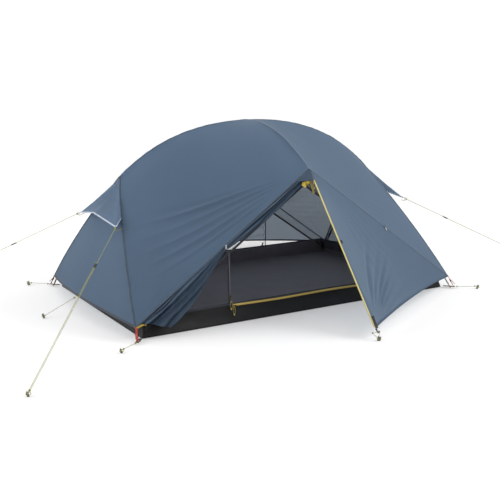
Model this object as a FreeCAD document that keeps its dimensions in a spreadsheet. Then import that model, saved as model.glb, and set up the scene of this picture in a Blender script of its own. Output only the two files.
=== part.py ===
import FreeCAD, Part
import Sketcher
import math
import os

from FreeCAD import Placement, Rotation, Vector

# Two-person double-wall tent. +X runs along the sleeping length, -Y is the front
# door, +Z is up. The origin is the middle of the floor's underside.
DIMENSIONS = {
    # bathtub floor
    "floor_length": 2030,
    "floor_width": 1280,
    "tub_top_length": 1970,
    "tub_top_width": 1230,
    "tub_height": 100,
    # outer fabric: ridge, hubs, shoulders (ends of the short pole) and corners
    "fabric": 1.5,
    "fly_apex_z": 1047,
    "fly_hub_x": 850,
    "fly_hub_z": 755,
    "fly_shoulder_y": 652,
    "fly_shoulder_z": 808,
    "fly_corner_x": 1055,
    "fly_corner_y": 655,
    "fly_corner_z": 70,
    "fly_leg_bow": 25,
    "hem_pull_x": 75,
    "hem_pull_z": 30,
    # vestibules and vents
    "porch_y": 1250,
    "porch_z": 56,
    "porch_hem_lift": 20,
    "vent_tip_x": 992,
    "vent_tip_y": 284,
    "vent_tip_z": 523,
    "vent_peak_x": 1010,
    "vent_peak_z": 563,
    # inner tent
    "inner_apex_z": 985,
    "inner_hub_x": 790,
    "inner_hub_z": 690,
    "inner_shoulder_y": 600,
    "inner_shoulder_z": 715,
    "inner_door_half": 490,
    "inner_door_side": 300,
    # poles
    "pole_od": 8.5,
    "pole_bore": 7.3,
    "ridge_pole_z": 1020,
    "ridge_mid_radius": 1480,
    "ridge_mid_turn": 18,
    "pole_hub_x": 840,
    "pole_hub_z": 744,
    "cross_pole_z": 1033,
    "cross_end_y": 632,
    "cross_end_z": 789,
    "pole_foot_x": 1053,
    "pole_foot_y": 684,
    "leg_bow": 40,
    "ferrule_od": 7.2,
    "ferrule_bore": 5.2,
    "ferrule_length": 60,
    "shock_cord": 2.5,
    # pole fittings
    "hub_ball": 11,
    "socket_od": 13.4,
    "socket_bore": 10,
    "socket_length": 36,
    "foot_shaft": 5,
    "foot_ball": 7,
    "foot_length": 30,
    "foot_plug": 6.1,
    "foot_collar": 5,
    "cap_wall": 1.3,
    "cap_clearance": 0.3,
    "cap_depth": 20,
    "cap_end": 2,
    "clip_width": 8,
    "clip_wall": 2,
    "clip_stem": 20,
    "clip_stem_width": 4,
    "clip_clearance": 0.4,
    "clip_mouth": 6.4,
    # webbing, cords, stakes
    "webbing_width": 20,
    "webbing": 1.6,
    "grommet_bore": 13,
    "line_od": 2.5,
    "trim_od": 4,
    "tie_od": 2.4,
    "tie_radius": 19.5,
    "inner_tie_radius": 23,
    "toggle_od": 6,
    "toggle_length": 32,
    "strap_width": 12,
    "hook_od": 13,
    "hook_bore": 8.4,
    "hook_width": 5,
    "line_spacing": 6,
    "line_clearance": 0.3,
    "stake_length": 165,
    "stake_flange": 12,
    "stake_sheet": 1.5,
    "stake_head": 26,
    "stake_lean": 18,
    "guy_reach": 1110,
    "guy_bearing": 48,
    "guy_bearing_open": 38,
    "tensioner_length": 26,
    "tensioner_width": 13,
    "tensioner_height": 6,
    # zips
    "zip_width": 8,
    "zip_height": 2,
    "slider_width": 13,
    "slider_height": 7,
    "slider_length": 14,
    "slider_slot_width": 9,
    "slider_slot_height": 3,
    "pull_width": 5,
    "pull_length": 26,
}

SEAM_INSET = 0.004        # part of an edge left free beside each seam
SEAM_GAP = 3.0            # mm between a door panel and the seam it hangs from
LEFT, RIGHT, FRONT, REAR = -1, 1, -1, 1
SIDES = {"left": LEFT, "right": RIGHT}
ENDS = {"front": FRONT, "rear": REAR}

doc = FreeCAD.newDocument("Tent")
sheet = doc.addObject("Spreadsheet::Sheet", "Dims")
for row, (alias, size) in enumerate(DIMENSIONS.items(), start=1):
    sheet.set("A%d" % row, alias)
    sheet.set("B%d" % row, str(size))
    sheet.setAlias("B%d" % row, alias)
doc.recompute()

NODES = []


def dim(alias):
    """Value of one cell of the dimension sheet."""
    return float(sheet.get(alias))


# ---------------------------------------------------------------- document helpers

def node(obj, label):
    """Mark a document object as a sub-part of its own."""
    obj.Label = label
    NODES.append(obj)
    return obj


def feature(name, shape):
    """Sub-part whose shape is worked out from the sheet in code."""
    obj = doc.addObject("Part::Feature", name)
    obj.Shape = shape
    return node(obj, name)


def primitive(kind, name, centre=None, **sizes):
    """Part primitive with its sizes, and its place if given, bound to the sheet."""
    obj = doc.addObject("Part::" + kind, name)
    for prop, formula in sizes.items():
        obj.setExpression(prop, formula)
    for prop, formula in zip(("x", "y", "z"), centre or ()):
        obj.setExpression("Placement.Base." + prop, str(formula))
    return obj


def cut(name, base, tool):
    obj = doc.addObject("Part::Cut", name)
    obj.Base = base
    obj.Tool = tool
    return obj


def fuse(name, shapes):
    obj = doc.addObject("Part::MultiFuse", name)
    obj.Shapes = shapes
    return obj


def compound(name, links):
    obj = doc.addObject("Part::Compound", name)
    obj.Links = links
    return node(obj, name)


def sketch_in(body, name):
    """Sketch on the body's own XY plane."""
    plane = next(f for f in body.Origin.OriginFeatures if f.Role == "XY_Plane")
    sketch = body.newObject("Sketcher::SketchObject", name)
    sketch.AttachmentSupport = (plane, [""])
    sketch.MapMode = "FlatFace"
    return sketch


def sketch_rectangle(sketch, width, height, prefix):
    """Rectangle centred on the sketch origin, its sides bound to two formulas."""
    corners = [(-1, -1), (1, -1), (1, 1), (-1, 1)]
    first = sketch.GeometryCount
    for k in range(4):
        a = Vector(*corners[k], 0)
        b = Vector(*corners[(k + 1) % 4], 0)
        sketch.addGeometry(Part.LineSegment(a, b), False)
    for k in range(4):
        sketch.addConstraint(Sketcher.Constraint("Coincident", first + k, 2, first + (k + 1) % 4, 1))
        kind = "Horizontal" if k % 2 == 0 else "Vertical"
        sketch.addConstraint(Sketcher.Constraint(kind, first + k))
    sketch.addConstraint(Sketcher.Constraint("Symmetric", first, 1, first + 2, 1, -1, 1))
    for line, formula, tag in ((0, width, "Width"), (1, height, "Height")):
        kind = "DistanceX" if line == 0 else "DistanceY"
        index = sketch.addConstraint(Sketcher.Constraint(kind, first + line, 1, first + line, 2, 2.0))
        sketch.renameConstraint(index, prefix + tag)
        sketch.setExpression("Constraints." + prefix + tag, formula)


def sketch_circle(sketch, x_formula, radius, prefix):
    """Circle on the sketch's X axis."""
    index = sketch.addGeometry(Part.Circle(Vector(1, 0, 0), Vector(0, 0, 1), 1), False)
    sketch.addConstraint(Sketcher.Constraint("PointOnObject", index, 3, -1))
    for kind, formula, tag in (("DistanceX", x_formula, "At"), ("Radius", radius, "Radius")):
        args = (-1, 1, index, 3, 1.0) if kind == "DistanceX" else (index, 1.0)
        constraint = sketch.addConstraint(Sketcher.Constraint(kind, *args))
        sketch.renameConstraint(constraint, prefix + tag)
        sketch.setExpression("Constraints." + prefix + tag, formula)


def pad(body, sketch, length):
    """Pad a sketch evenly to both sides of its plane."""
    obj = body.newObject("PartDesign::Pad", sketch.Name + "Pad")
    obj.Profile = sketch
    obj.setExpression("Length", length)
    obj.Midplane = True
    body.Tip = obj
    return obj


# ---------------------------------------------------------------- geometry helpers

def mirror_x(shape):
    return shape.mirror(Vector(0, 0, 0), Vector(1, 0, 0))


def mirror_y(shape):
    return shape.mirror(Vector(0, 0, 0), Vector(0, 1, 0))


def mirrored_y(point):
    return Vector(point.x, -point.y, point.z)


def in_quarter(shape, side, end):
    """Copy of a shape drawn at +X +Y, moved to the quarter (side, end)."""
    if side == LEFT:
        shape = mirror_x(shape)
    if end == FRONT:
        shape = mirror_y(shape)
    return shape


def all_quarters(shape):
    return [in_quarter(shape, side, end) for side in (RIGHT, LEFT) for end in (REAR, FRONT)]


def mix(a, b, share):
    return a + (b - a) * share


def coons(top, bottom, left, right):
    """Surface point (u, v) spanned by four edge curves."""
    def point(u, v):
        across = mix(top(u), bottom(u), v)
        down = mix(left(v), right(v), u)
        corners = mix(mix(top(0), top(1), u), mix(bottom(0), bottom(1), u), v)
        return across + down - corners
    return point


def surface_normal(point, u, v):
    step = 1e-3
    along_u = point(u + step, v) - point(u - step, v)
    along_v = point(u, v + step) - point(u, v - step)
    return along_u.cross(along_v).normalize()


def skin(point, spans=((0, 1), (0, 1)), outward=Vector(0, 0, 1), steps=8, thickness=None):
    """Closed thin solid standing on a surface, thickened towards outward."""
    thickness = thickness or dim("fabric")
    (u0, u1), (v0, v1) = spans
    near, far = [], []
    for i in range(steps + 1):
        u = u0 + (u1 - u0) * i / steps
        near_row, far_row = [], []
        for j in range(steps + 1):
            v = v0 + (v1 - v0) * j / steps
            normal = surface_normal(point, u, v)
            if normal.dot(outward) < 0:
                normal = normal * -1
            near_row.append(point(u, v))
            far_row.append(point(u, v) + normal * thickness)
        near.append(near_row)
        far.append(far_row)
    faces = []
    for grid in (near, far):
        surface = Part.BSplineSurface()
        surface.interpolate(grid)
        faces.append(surface.toShape())
    rims = [Part.makeRuledSurface(a, b) for a, b in zip(faces[0].Edges, faces[1].Edges)]
    shell = Part.makeShell(faces + rims)
    shell.sewShape()
    return solid_of(shell)


def solid_of(shell):
    body = Part.makeSolid(shell)
    if body.Volume < 0:
        body.reverse()
    return body


def plate(outline, thickness, outward):
    """Flat plate on a closed outline of points."""
    face = Part.Face(Part.makePolygon(outline + outline[:1]))
    return face.extrude(outward.normalize() * thickness)


def rod(start, end, diameter):
    """Straight round cord."""
    return Part.makeCylinder(diameter / 2, (end - start).Length, start, end - start)


def bent_tube(arc, first, last, outer, inner=0):
    """Round tube along the stretch of an arc between two lengths from its start."""
    a = arc.getParameterByLength(first)
    b = arc.getParameterByLength(last)
    centre = arc.valueAt(a)
    heading = arc.tangentAt(a)
    section = Part.Face(Part.Wire(Part.makeCircle(outer / 2, centre, heading)))
    if inner:
        hole = Part.Face(Part.Wire(Part.makeCircle(inner / 2, centre, heading)))
        section = section.cut(hole).Faces[0]
    return section.revolve(arc.Curve.Center, arc.Curve.Axis, math.degrees(b - a))


def arc_through(start, middle, end):
    return Part.Arc(start, middle, end).toShape()


def arc_from_tangent(start, heading, end):
    """Arc that leaves start along heading and ends at end."""
    chord = end - start
    along = Vector(chord).normalize()
    rise = heading - along * heading.dot(along)
    turn = heading.getAngle(chord)
    middle = start + chord * 0.5 + rise.normalize() * (chord.Length / 2 * math.tan(turn / 2))
    return arc_through(start, middle, end)


def facing(direction, side_hint=Vector(0, 0, 1)):
    """Rotation that takes +Z to a direction and keeps +X level."""
    z_axis = Vector(direction).normalize()
    x_axis = side_hint.cross(z_axis)
    if x_axis.Length < 1e-6:
        x_axis = Vector(1, 0, 0)
    return Rotation(x_axis, z_axis.cross(x_axis), z_axis, "ZXY")


def placed(shape, position, rotation=None):
    copy = shape.copy()
    copy.Placement = Placement(position, rotation or Rotation())
    return copy


# ---------------------------------------------------------------- reference points

FLY_APEX = Vector(0, 0, dim("fly_apex_z"))
FLY_HUB = Vector(dim("fly_hub_x"), 0, dim("fly_hub_z"))
FLY_SHOULDER = Vector(0, dim("fly_shoulder_y"), dim("fly_shoulder_z"))
FLY_CORNER = Vector(dim("fly_corner_x"), dim("fly_corner_y"), dim("fly_corner_z"))
PORCH_TIP = Vector(0, dim("porch_y"), dim("porch_z"))
INNER_APEX = Vector(0, 0, dim("inner_apex_z"))
INNER_HUB = Vector(dim("inner_hub_x"), 0, dim("inner_hub_z"))
INNER_SHOULDER = Vector(0, dim("inner_shoulder_y"), dim("inner_shoulder_z"))
TUB_CORNER = Vector(dim("tub_top_length") / 2, dim("tub_top_width") / 2, dim("tub_height") + SEAM_GAP)
POLE_HUB = Vector(dim("pole_hub_x"), 0, dim("pole_hub_z"))
POLE_FOOT = Vector(dim("pole_foot_x"), dim("pole_foot_y"), dim("foot_ball") / 2)
VENT_TIP = Vector(dim("vent_tip_x"), dim("vent_tip_y"), dim("vent_tip_z"))
VENT_PEAK = Vector(dim("vent_peak_x"), 0, dim("vent_peak_z"))


# ---------------------------------------------------------------- poles

def ridge_arcs():
    """The two arcs of the ridge pole's right half: middle, then end."""
    radius = dim("ridge_mid_radius")
    turn = math.radians(dim("ridge_mid_turn"))
    top = Vector(0, 0, dim("ridge_pole_z"))

    def on_middle(angle):
        return top + Vector(radius * math.sin(angle), 0, radius * (math.cos(angle) - 1))

    middle = arc_through(top, on_middle(turn / 2), on_middle(turn))
    heading = Vector(math.cos(turn), 0, -math.sin(turn))
    return middle, arc_from_tangent(on_middle(turn), heading, POLE_HUB)


def leg_arc():
    """Rear right leg, from the hub to the ground."""
    middle = mix(POLE_HUB, POLE_FOOT, 0.5) + Vector(0.8, 0.6, 0) * dim("leg_bow")
    return arc_through(POLE_HUB, middle, POLE_FOOT)


def cross_arc():
    """Short pole from the front shoulder over the ridge to the rear shoulder."""
    end = Vector(0, dim("cross_end_y"), dim("cross_end_z"))
    start = Vector(0, -end.y, end.z)
    return arc_through(start, Vector(0, 0, dim("cross_pole_z")), end)


RIDGE_MIDDLE, RIDGE_END = ridge_arcs()
LEG = leg_arc()
CROSS = cross_arc()
BUTT_GAP = 0.4            # mm between the ends of two pole sections
HUB_STANDOFF = 16         # mm from a hub's centre to the pole end in its socket


def tube(arc, first, last):
    return bent_tube(arc, first, last, dim("pole_od"), dim("pole_bore"))


def ridge_pole():
    near = tube(RIDGE_MIDDLE, BUTT_GAP, RIDGE_MIDDLE.Length - BUTT_GAP)
    far = tube(RIDGE_END, BUTT_GAP, RIDGE_END.Length - HUB_STANDOFF)
    sections = [near, far, mirror_x(near), mirror_x(far)]
    return feature("ridge_pole", Part.makeCompound(sections))


def leg_poles():
    half = LEG.Length / 2
    upper = tube(LEG, HUB_STANDOFF, half - BUTT_GAP)
    lower = tube(LEG, half + BUTT_GAP, LEG.Length - dim("foot_length"))
    sections = all_quarters(upper) + all_quarters(lower)
    return feature("leg_poles", Part.makeCompound(sections))


def cross_pole():
    third = CROSS.Length / 3
    sections = [tube(CROSS, k * third + BUTT_GAP, (k + 1) * third - BUTT_GAP) for k in range(3)]
    return feature("cross_pole", Part.makeCompound(sections))


def pole_ferrules():
    """Insert tubes that join the pole sections."""
    reach = dim("ferrule_length") / 2

    def insert(arc, first, last):
        return bent_tube(arc, first, last, dim("ferrule_od"), dim("ferrule_bore"))

    centre = insert(RIDGE_MIDDLE, 0, reach)
    bend = insert(RIDGE_MIDDLE, RIDGE_MIDDLE.Length - reach, RIDGE_MIDDLE.Length)
    bend = bend.fuse(insert(RIDGE_END, 0, reach))
    knee = LEG.Length / 2
    leg = insert(LEG, knee - reach, knee + reach)
    third = CROSS.Length / 3
    cross = [insert(CROSS, k * third - reach, k * third + reach) for k in (1, 2)]
    solids = [centre.fuse(mirror_x(centre)), bend, mirror_x(bend)] + all_quarters(leg) + cross
    return feature("pole_ferrules", Part.makeCompound(solids))


def shock_cord():
    """Elastic cord inside the ridge, leg and cross poles."""
    def cord(arc, first, last):
        return bent_tube(arc, first, last, dim("shock_cord"))

    stop = dim("foot_length") + 12
    halves = cord(RIDGE_MIDDLE, 0, RIDGE_MIDDLE.Length)
    halves = halves.fuse(cord(RIDGE_END, 0, RIDGE_END.Length - HUB_STANDOFF - 4))
    leg = cord(LEG, HUB_STANDOFF + 4, LEG.Length - stop)
    cross = cord(CROSS, 20, CROSS.Length - 20)
    solids = [halves.fuse(mirror_x(halves))] + all_quarters(leg) + [cross]
    return feature("shock_cord", Part.makeCompound(solids))


def end_hubs():
    """Moulded three-way hubs at the two ends of the ridge pole."""
    ball = primitive("Sphere", "HubBall", Radius="Dims.hub_ball")
    ball.Placement.Base = POLE_HUB
    to_ridge = RIDGE_END.tangentAt(RIDGE_END.LastParameter) * -1
    to_rear = LEG.tangentAt(LEG.FirstParameter)
    to_front = mirrored_y(to_rear)
    sockets, bores = [], []
    for tag, heading in (("Ridge", to_ridge), ("Rear", to_rear), ("Front", to_front)):
        socket = primitive("Cylinder", "Socket" + tag, Radius="Dims.socket_od / 2", Height="Dims.socket_length")
        bore = primitive("Cylinder", "Bore" + tag, Radius="Dims.socket_bore / 2", Height="Dims.socket_length * 2")
        socket.Placement = Placement(POLE_HUB, facing(heading))
        bore.Placement = Placement(POLE_HUB + heading * (HUB_STANDOFF - 2), facing(heading))
        sockets.append(socket)
        bores.append(bore)
    right = cut("HubRight", fuse("HubBlank", [ball] + sockets), fuse("HubBores", bores))
    left = doc.addObject("Part::Mirroring", "HubLeft")
    left.Source = right
    left.Normal = Vector(1, 0, 0)
    return compound("end_hubs", [right, left])


def centre_hub():
    """Swivel that carries the cross pole on top of the ridge pole."""
    length = 30
    clearance = 0.6
    lower = primitive("Cylinder", "RidgeSleeve", Radius="Dims.socket_od / 2", Height=str(length))
    lower.Placement = Placement(Vector(-length / 2, 0, dim("ridge_pole_z")), facing(Vector(1, 0, 0)))
    upper = primitive("Cylinder", "CrossSleeve", Radius="Dims.socket_od / 2", Height=str(length))
    upper.Placement = Placement(Vector(0, -length / 2, dim("cross_pole_z")), facing(Vector(0, 1, 0)))
    rivet = primitive("Cylinder", "SwivelRivet", (0, 0, "Dims.ridge_pole_z"), Radius="3.5",
                      Height="Dims.cross_pole_z - Dims.ridge_pole_z")
    bores = []
    for tag, source in (("RidgeBore", lower), ("CrossBore", upper)):
        bore = primitive("Cylinder", tag, Radius="Dims.pole_od / 2 + %g" % clearance, Height=str(length * 2))
        heading = source.Placement.Rotation.multVec(Vector(0, 0, 1))
        bore.Placement = Placement(source.Placement.Base - heading * (length / 2), source.Placement.Rotation)
        bores.append(bore)
    return node(cut("centre_hub", fuse("SwivelBlank", [lower, upper, rivet]), fuse("SwivelBores", bores)),
                "centre_hub")


def pole_tips():
    """Turned tips that stand in the corner grommets."""
    shaft = primitive("Cylinder", "TipShaft", Radius="Dims.foot_shaft / 2", Height="Dims.foot_length - 1")
    plug = primitive("Cylinder", "TipPlug", (0, 0, "Dims.foot_length - 1"), Radius="Dims.foot_plug / 2",
                     Height="Dims.foot_plug * 2")
    collar = primitive("Cylinder", "TipCollar", (0, 0, "Dims.foot_length - Dims.foot_collar - 1"),
                       Radius="Dims.pole_od / 2", Height="Dims.foot_collar")
    ball = primitive("Sphere", "TipBall", Radius="Dims.foot_ball / 2")
    tip = fuse("PoleTip", [shaft, plug, collar, ball])
    doc.recompute()
    upward = LEG.tangentAt(LEG.LastParameter) * -1
    foot = placed(tip.Shape, LEG.valueAt(LEG.LastParameter), facing(upward))
    return feature("pole_tips", Part.makeCompound(all_quarters(foot)))


def cross_pole_caps():
    """Plastic caps on the ends of the short pole."""
    heading = CROSS.tangentAt(CROSS.LastParameter)
    end = CROSS.valueAt(CROSS.LastParameter)
    bore_radius = "Dims.pole_od / 2 + Dims.cap_clearance"
    wall = primitive("Cylinder", "CapWall", Radius=bore_radius + " + Dims.cap_wall",
                     Height="Dims.cap_depth + Dims.cap_end")
    bore = primitive("Cylinder", "CapBore", Radius=bore_radius, Height="Dims.cap_depth")
    cap = cut("Cap", wall, bore)
    doc.recompute()
    rear = placed(cap.Shape, end - heading * (dim("cap_depth") - 1), facing(heading))
    return feature("cross_pole_caps", Part.makeCompound([rear, mirror_y(rear)]))


# ---------------------------------------------------------------- soft panels

def roof_quarter(apex, hub, shoulder, corner, bow):
    """Rear right roof panel between ridge, leg seam, side seam and cross pole."""
    def ridge(u):
        drop = (apex.z - hub.z) * (0.7 * u ** 2 + 0.3 * u ** 4)
        return Vector(hub.x * u, 0, apex.z - drop)

    def cross(v):
        return Vector(0, shoulder.y * v, apex.z - (apex.z - shoulder.z) * v ** 2)

    def side(u):
        return mix(shoulder, corner, u)

    return coons(ridge, side, cross, leg_seam(hub, corner, bow))


def leg_seam(hub, corner, bow):
    def seam(v):
        return mix(hub, corner, v) + Vector(0.8, 0.6, 0) * (4 * bow * v * (1 - v))
    return seam


FLY_ROOF = roof_quarter(FLY_APEX, FLY_HUB, FLY_SHOULDER, FLY_CORNER, dim("fly_leg_bow"))
INNER_ROOF = roof_quarter(INNER_APEX, INNER_HUB, INNER_SHOULDER, TUB_CORNER, 0)
INSIDE_SEAMS = ((SEAM_INSET, 1 - SEAM_INSET), (SEAM_INSET, 1 - SEAM_INSET))
ROOF_OUT = Vector(0.4, 0.6, 0.7)
END_OUT = Vector(1, 0, 0.2)


def roof(name, surface):
    panel = skin(surface, INSIDE_SEAMS, ROOF_OUT)
    return feature(name, Part.makeCompound(all_quarters(panel)))


def roofs():
    roof("fly_roof", FLY_ROOF)
    roof("inner_roof", INNER_ROOF)


def end_wall(name, hub, corner, bow, pull_x, pull_z, top_share):
    """Panel between the two leg seams of each end."""
    seam = leg_seam(hub, corner, bow)

    def rear_edge(v):
        return seam(top_share + (1 - top_share) * v) + Vector(SEAM_GAP, 0, 0)

    def front_edge(v):
        return mirrored_y(rear_edge(v))

    def hem(u):
        swell = math.sin(math.pi * u)
        return mix(front_edge(1), rear_edge(1), u) + Vector(pull_x, 0, pull_z) * swell

    def top(u):
        return mix(front_edge(0), rear_edge(0), u)

    spans = ((SEAM_INSET, 1 - SEAM_INSET), (0, 1))
    panel = skin(coons(top, hem, front_edge, rear_edge), spans, END_OUT)
    return feature(name, Part.makeCompound([panel, mirror_x(panel)]))


def end_walls():
    end_wall("fly_ends", FLY_HUB, FLY_CORNER, dim("fly_leg_bow"), dim("hem_pull_x"), dim("hem_pull_z"), 0.06)
    end_wall("inner_ends", INNER_HUB, TUB_CORNER, 0, 0, 0, 0.03)


ZIP_EDGE_GAP = 4          # mm from the middle plane to the panel that carries the zip
FREE_EDGE_GAP = 15        # mm from the middle plane to the panel that meets it
PORCH_START = 0.05        # share of the seam above the first thread of a porch panel


def porch_panel(zip_gap):
    """Half of the rear vestibule, right side: shoulder, porch tip and corner."""
    seam_shift = Vector(ZIP_EDGE_GAP, SEAM_GAP, -SEAM_GAP)

    def zip_edge(v):
        return mix(FLY_SHOULDER, PORCH_TIP, PORCH_START + (1 - PORCH_START) * v) + Vector(zip_gap, 0, 0)

    def seam_edge(v):
        return mix(FLY_SHOULDER, FLY_CORNER, PORCH_START + (1 - PORCH_START) * v) + seam_shift

    def top(u):
        return mix(zip_edge(0), seam_edge(0), u)

    def hem(u):
        lift = Vector(0, -0.5, 1) * (4 * dim("porch_hem_lift") * u * (1 - u))
        return mix(zip_edge(1), seam_edge(1), u) + lift

    return skin(coons(top, hem, zip_edge, seam_edge), outward=Vector(0.3, 0.8, 0.5))


def fly_front_door_right():
    return feature("fly_front_door_right", mirror_y(porch_panel(ZIP_EDGE_GAP)))


def fly_rear_door_right():
    return feature("fly_rear_door_right", porch_panel(ZIP_EDGE_GAP))


def fly_rear_door_left():
    return feature("fly_rear_door_left", mirror_x(porch_panel(FREE_EDGE_GAP)))


# Rolled porch half: share of the seam's length, half width below the seam, half depth
ROLL_STATIONS = ((0.05, 11, 11), (0.25, 20, 16), (0.515, 17, 15), (0.7, 42, 18), (0.95, 74, 20))
ROLL_DROP = 6             # mm that the roll hangs clear of its seam
ROLL_OUT = 4              # mm that it stands out from the wall


def fly_front_door_left():
    """Front left half, rolled back and tied along its seam, its hem hanging loose."""
    shoulder = Vector(0, -FLY_SHOULDER.y, FLY_SHOULDER.z)
    corner = Vector(-FLY_CORNER.x, -FLY_CORNER.y, FLY_CORNER.z)
    seam = (corner - shoulder).normalize()
    below = Vector(0, -1, 0).cross(seam).normalize()
    length = (corner - shoulder).Length
    rings = []
    for share, half_width, half_depth in ROLL_STATIONS:
        centre = shoulder + seam * (length * share) + below * (half_width + ROLL_DROP) - Vector(0, ROLL_OUT, 0)
        ellipse = Part.Ellipse(Vector(0, 0, 0), half_width, half_depth).toShape()
        ellipse.Placement = Placement(centre, Rotation(below, seam.cross(below), seam, "ZXY"))
        rings.append(Part.Wire(ellipse))
    return feature("fly_front_door_left", Part.makeLoft(rings, True, False))


def vent_hoods():
    """Hood over the opening high in each end wall: two facets meeting on a crease."""
    root = FLY_HUB + Vector(14, 0, 14)
    side = FLY_HUB + Vector(22, 18, -6)

    def facet(u, v):
        return mix(mix(root, side, u), mix(VENT_PEAK, VENT_TIP, u), v)

    half = skin(facet, ((SEAM_INSET, 1), (0, 1)), ROOF_OUT, steps=4)
    return feature("vent_hoods", Part.makeCompound(all_quarters(half)))


def vent_trims():
    """Reflective binding along the free edge of each hood."""
    below_edge = Vector(4, 0, -6)
    off_middle = Vector(0, 6, -1)
    binding = rod(VENT_PEAK + below_edge + off_middle, VENT_TIP + below_edge, dim("trim_od"))
    return feature("vent_trims", Part.makeCompound(all_quarters(binding)))


def vent_meshes():
    """Insect net inside each vent opening, between end wall and hood."""
    wall_top = FLY_HUB + Vector(60, 0, -96)
    wall_side = wall_top + Vector(22, 70, -40)
    sill_side = wall_top + Vector(58, 110, -96)
    sill = wall_top + Vector(64, 0, -84)

    def net(u, v):
        return mix(mix(wall_top, wall_side, u), mix(sill, sill_side, u), v)

    half = skin(net, ((SEAM_INSET * 4, 1), (0, 1)), END_OUT, steps=4)
    return feature("vent_meshes", Part.makeCompound(all_quarters(half)))


# ---------------------------------------------------------------- inner tent

def tub_floor():
    """Waterproof floor with raised walls leaning inward."""
    def wedge(name, shrink, lift):
        low = "Dims.floor_%s / 2 - %g"
        high = "Dims.tub_top_%s / 2 - %g"
        sizes = {"Ymin": "0", "Ymax": "Dims.tub_height"}
        for axis, word in (("X", "length"), ("Z", "width")):
            sizes[axis + "min"] = "-(%s)" % (low % (word, shrink))
            sizes[axis + "max"] = low % (word, shrink)
            sizes[axis + "2min"] = "-(%s)" % (high % (word, shrink))
            sizes[axis + "2max"] = high % (word, shrink)
        obj = primitive("Wedge", name, **sizes)
        obj.Placement = Placement(Vector(0, 0, lift), Rotation(Vector(1, 0, 0), 90))
        return obj

    return node(cut("tub_floor", wedge("TubOuter", 0, 0), wedge("TubInner", dim("fabric"), dim("fabric"))),
                "tub_floor")


def wall_y(z):
    """Distance of the inner wall from the middle plane at a height."""
    share = (z - TUB_CORNER.z) / (INNER_SHOULDER.z - TUB_CORNER.z)
    return TUB_CORNER.y + (INNER_SHOULDER.y - TUB_CORNER.y) * share


def wall_point(x, z):
    return Vector(x, wall_y(z), z)


def seam_z(x):
    """Height of the inner side seam above a point of the wall."""
    return mix(INNER_SHOULDER, TUB_CORNER, abs(x) / TUB_CORNER.x).z


WALL_OUT = Vector(0, 1, 0.05)


def door_outline(margin):
    """Corners of the inner door, closed, on the rear wall."""
    half = dim("inner_door_half") - margin
    base = TUB_CORNER.z + 2 * margin
    crown = INNER_SHOULDER.z - 6 * margin
    shoulder = seam_z(half) - 4 * margin
    return [wall_point(-half, base), wall_point(half, base), wall_point(half, shoulder),
            wall_point(0, crown), wall_point(-half, shoulder)]


def fixed_wall():
    """Triangle of net between the door and the corner, rear right."""
    near = dim("inner_door_half") + SEAM_GAP
    far = TUB_CORNER.x - 12
    outline = [wall_point(near, TUB_CORNER.z + 1), wall_point(far, TUB_CORNER.z + 1),
               wall_point(near, seam_z(near) - 8)]
    return plate(outline, dim("fabric"), Vector(WALL_OUT))


def inner_walls():
    rear = fixed_wall()
    feature("inner_rear_wall", Part.makeCompound([rear, mirror_x(rear)]))
    front = mirror_y(rear)
    return feature("inner_front_wall", Part.makeCompound([front, mirror_x(front)]))


def inner_rear_door():
    return feature("inner_rear_door", plate(door_outline(SEAM_GAP), dim("fabric"), Vector(WALL_OUT)))


ROLL_IN = 24              # mm from the wall to the middle of the rolled inner door


def inner_front_door():
    """Front net door, rolled and tied beside its hinge edge."""
    half = dim("inner_door_half")
    near = half * 0.28
    inward = Vector(-ROLL_IN, ROLL_IN + 2, 0)
    along_seam, downward = Vector(0.75, 0, -0.66), Vector(0, 0, -1)
    stations = ((near, seam_z(near) - 70, 13, along_seam),
                (half, seam_z(half) - 90, 19, along_seam),
                (half, TUB_CORNER.z + 24, 15, downward))
    rings = []
    for x, z, radius, heading in stations:
        centre = mirrored_y(wall_point(x, z)) + inward
        rings.append(Part.Wire(Part.makeCircle(radius, centre, heading)))
    return feature("inner_front_door", Part.makeLoft(rings, True, True))


# ---------------------------------------------------------------- zips and sliders

PORCH_RUN = PORCH_TIP - FLY_SHOULDER
PORCH_DIRECTION = Vector(PORCH_RUN).normalize()
ZIP_START = 40            # mm below the shoulder where a porch zip begins
ZIP_END = 70              # mm above the porch tip where it ends
ZIP_OFFSET = -5           # mm of the porch zip's middle from the middle plane


def strip(start, end, width, height, across):
    """Flat straight tape from start to end; across is its width direction."""
    along = Vector(end - start).normalize()
    side = Vector(across).normalize()
    box = Part.makeBox(width, height, (end - start).Length, Vector(-width / 2, -height / 2, 0))
    return placed(box, start, Rotation(side, along.cross(side), along, "ZXY"))


def porch_zip():
    start = FLY_SHOULDER + PORCH_DIRECTION * ZIP_START + Vector(ZIP_OFFSET, 0, 0)
    end = PORCH_TIP - PORCH_DIRECTION * ZIP_END + Vector(ZIP_OFFSET, 0, 0)
    return strip(start, end, dim("zip_width"), dim("zip_height"), Vector(1, 0, 0))


def fly_zips():
    feature("fly_front_zip", mirror_y(porch_zip()))
    return feature("fly_rear_zip", porch_zip())


def base_zip_line():
    """Ends of the rear inner door's lower zip."""
    half = dim("inner_door_half") - 20
    height = TUB_CORNER.z - 12
    out = Vector(0, 6, 0)
    lean = (dim("floor_width") - dim("tub_top_width")) / 2 * 0.12
    return (Vector(-half, TUB_CORNER.y + lean, height) + out, Vector(half, TUB_CORNER.y + lean, height) + out)


def side_zip_line():
    """Ends of the rear inner door's upright zip, on its free side."""
    x = -dim("inner_door_half") + SEAM_GAP / 2
    low = wall_point(x, TUB_CORNER.z + 34)
    high = wall_point(x, TUB_CORNER.z + dim("inner_door_side") - 20)
    out = Vector(0, 8, 0)
    return low + out, high + out


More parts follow.
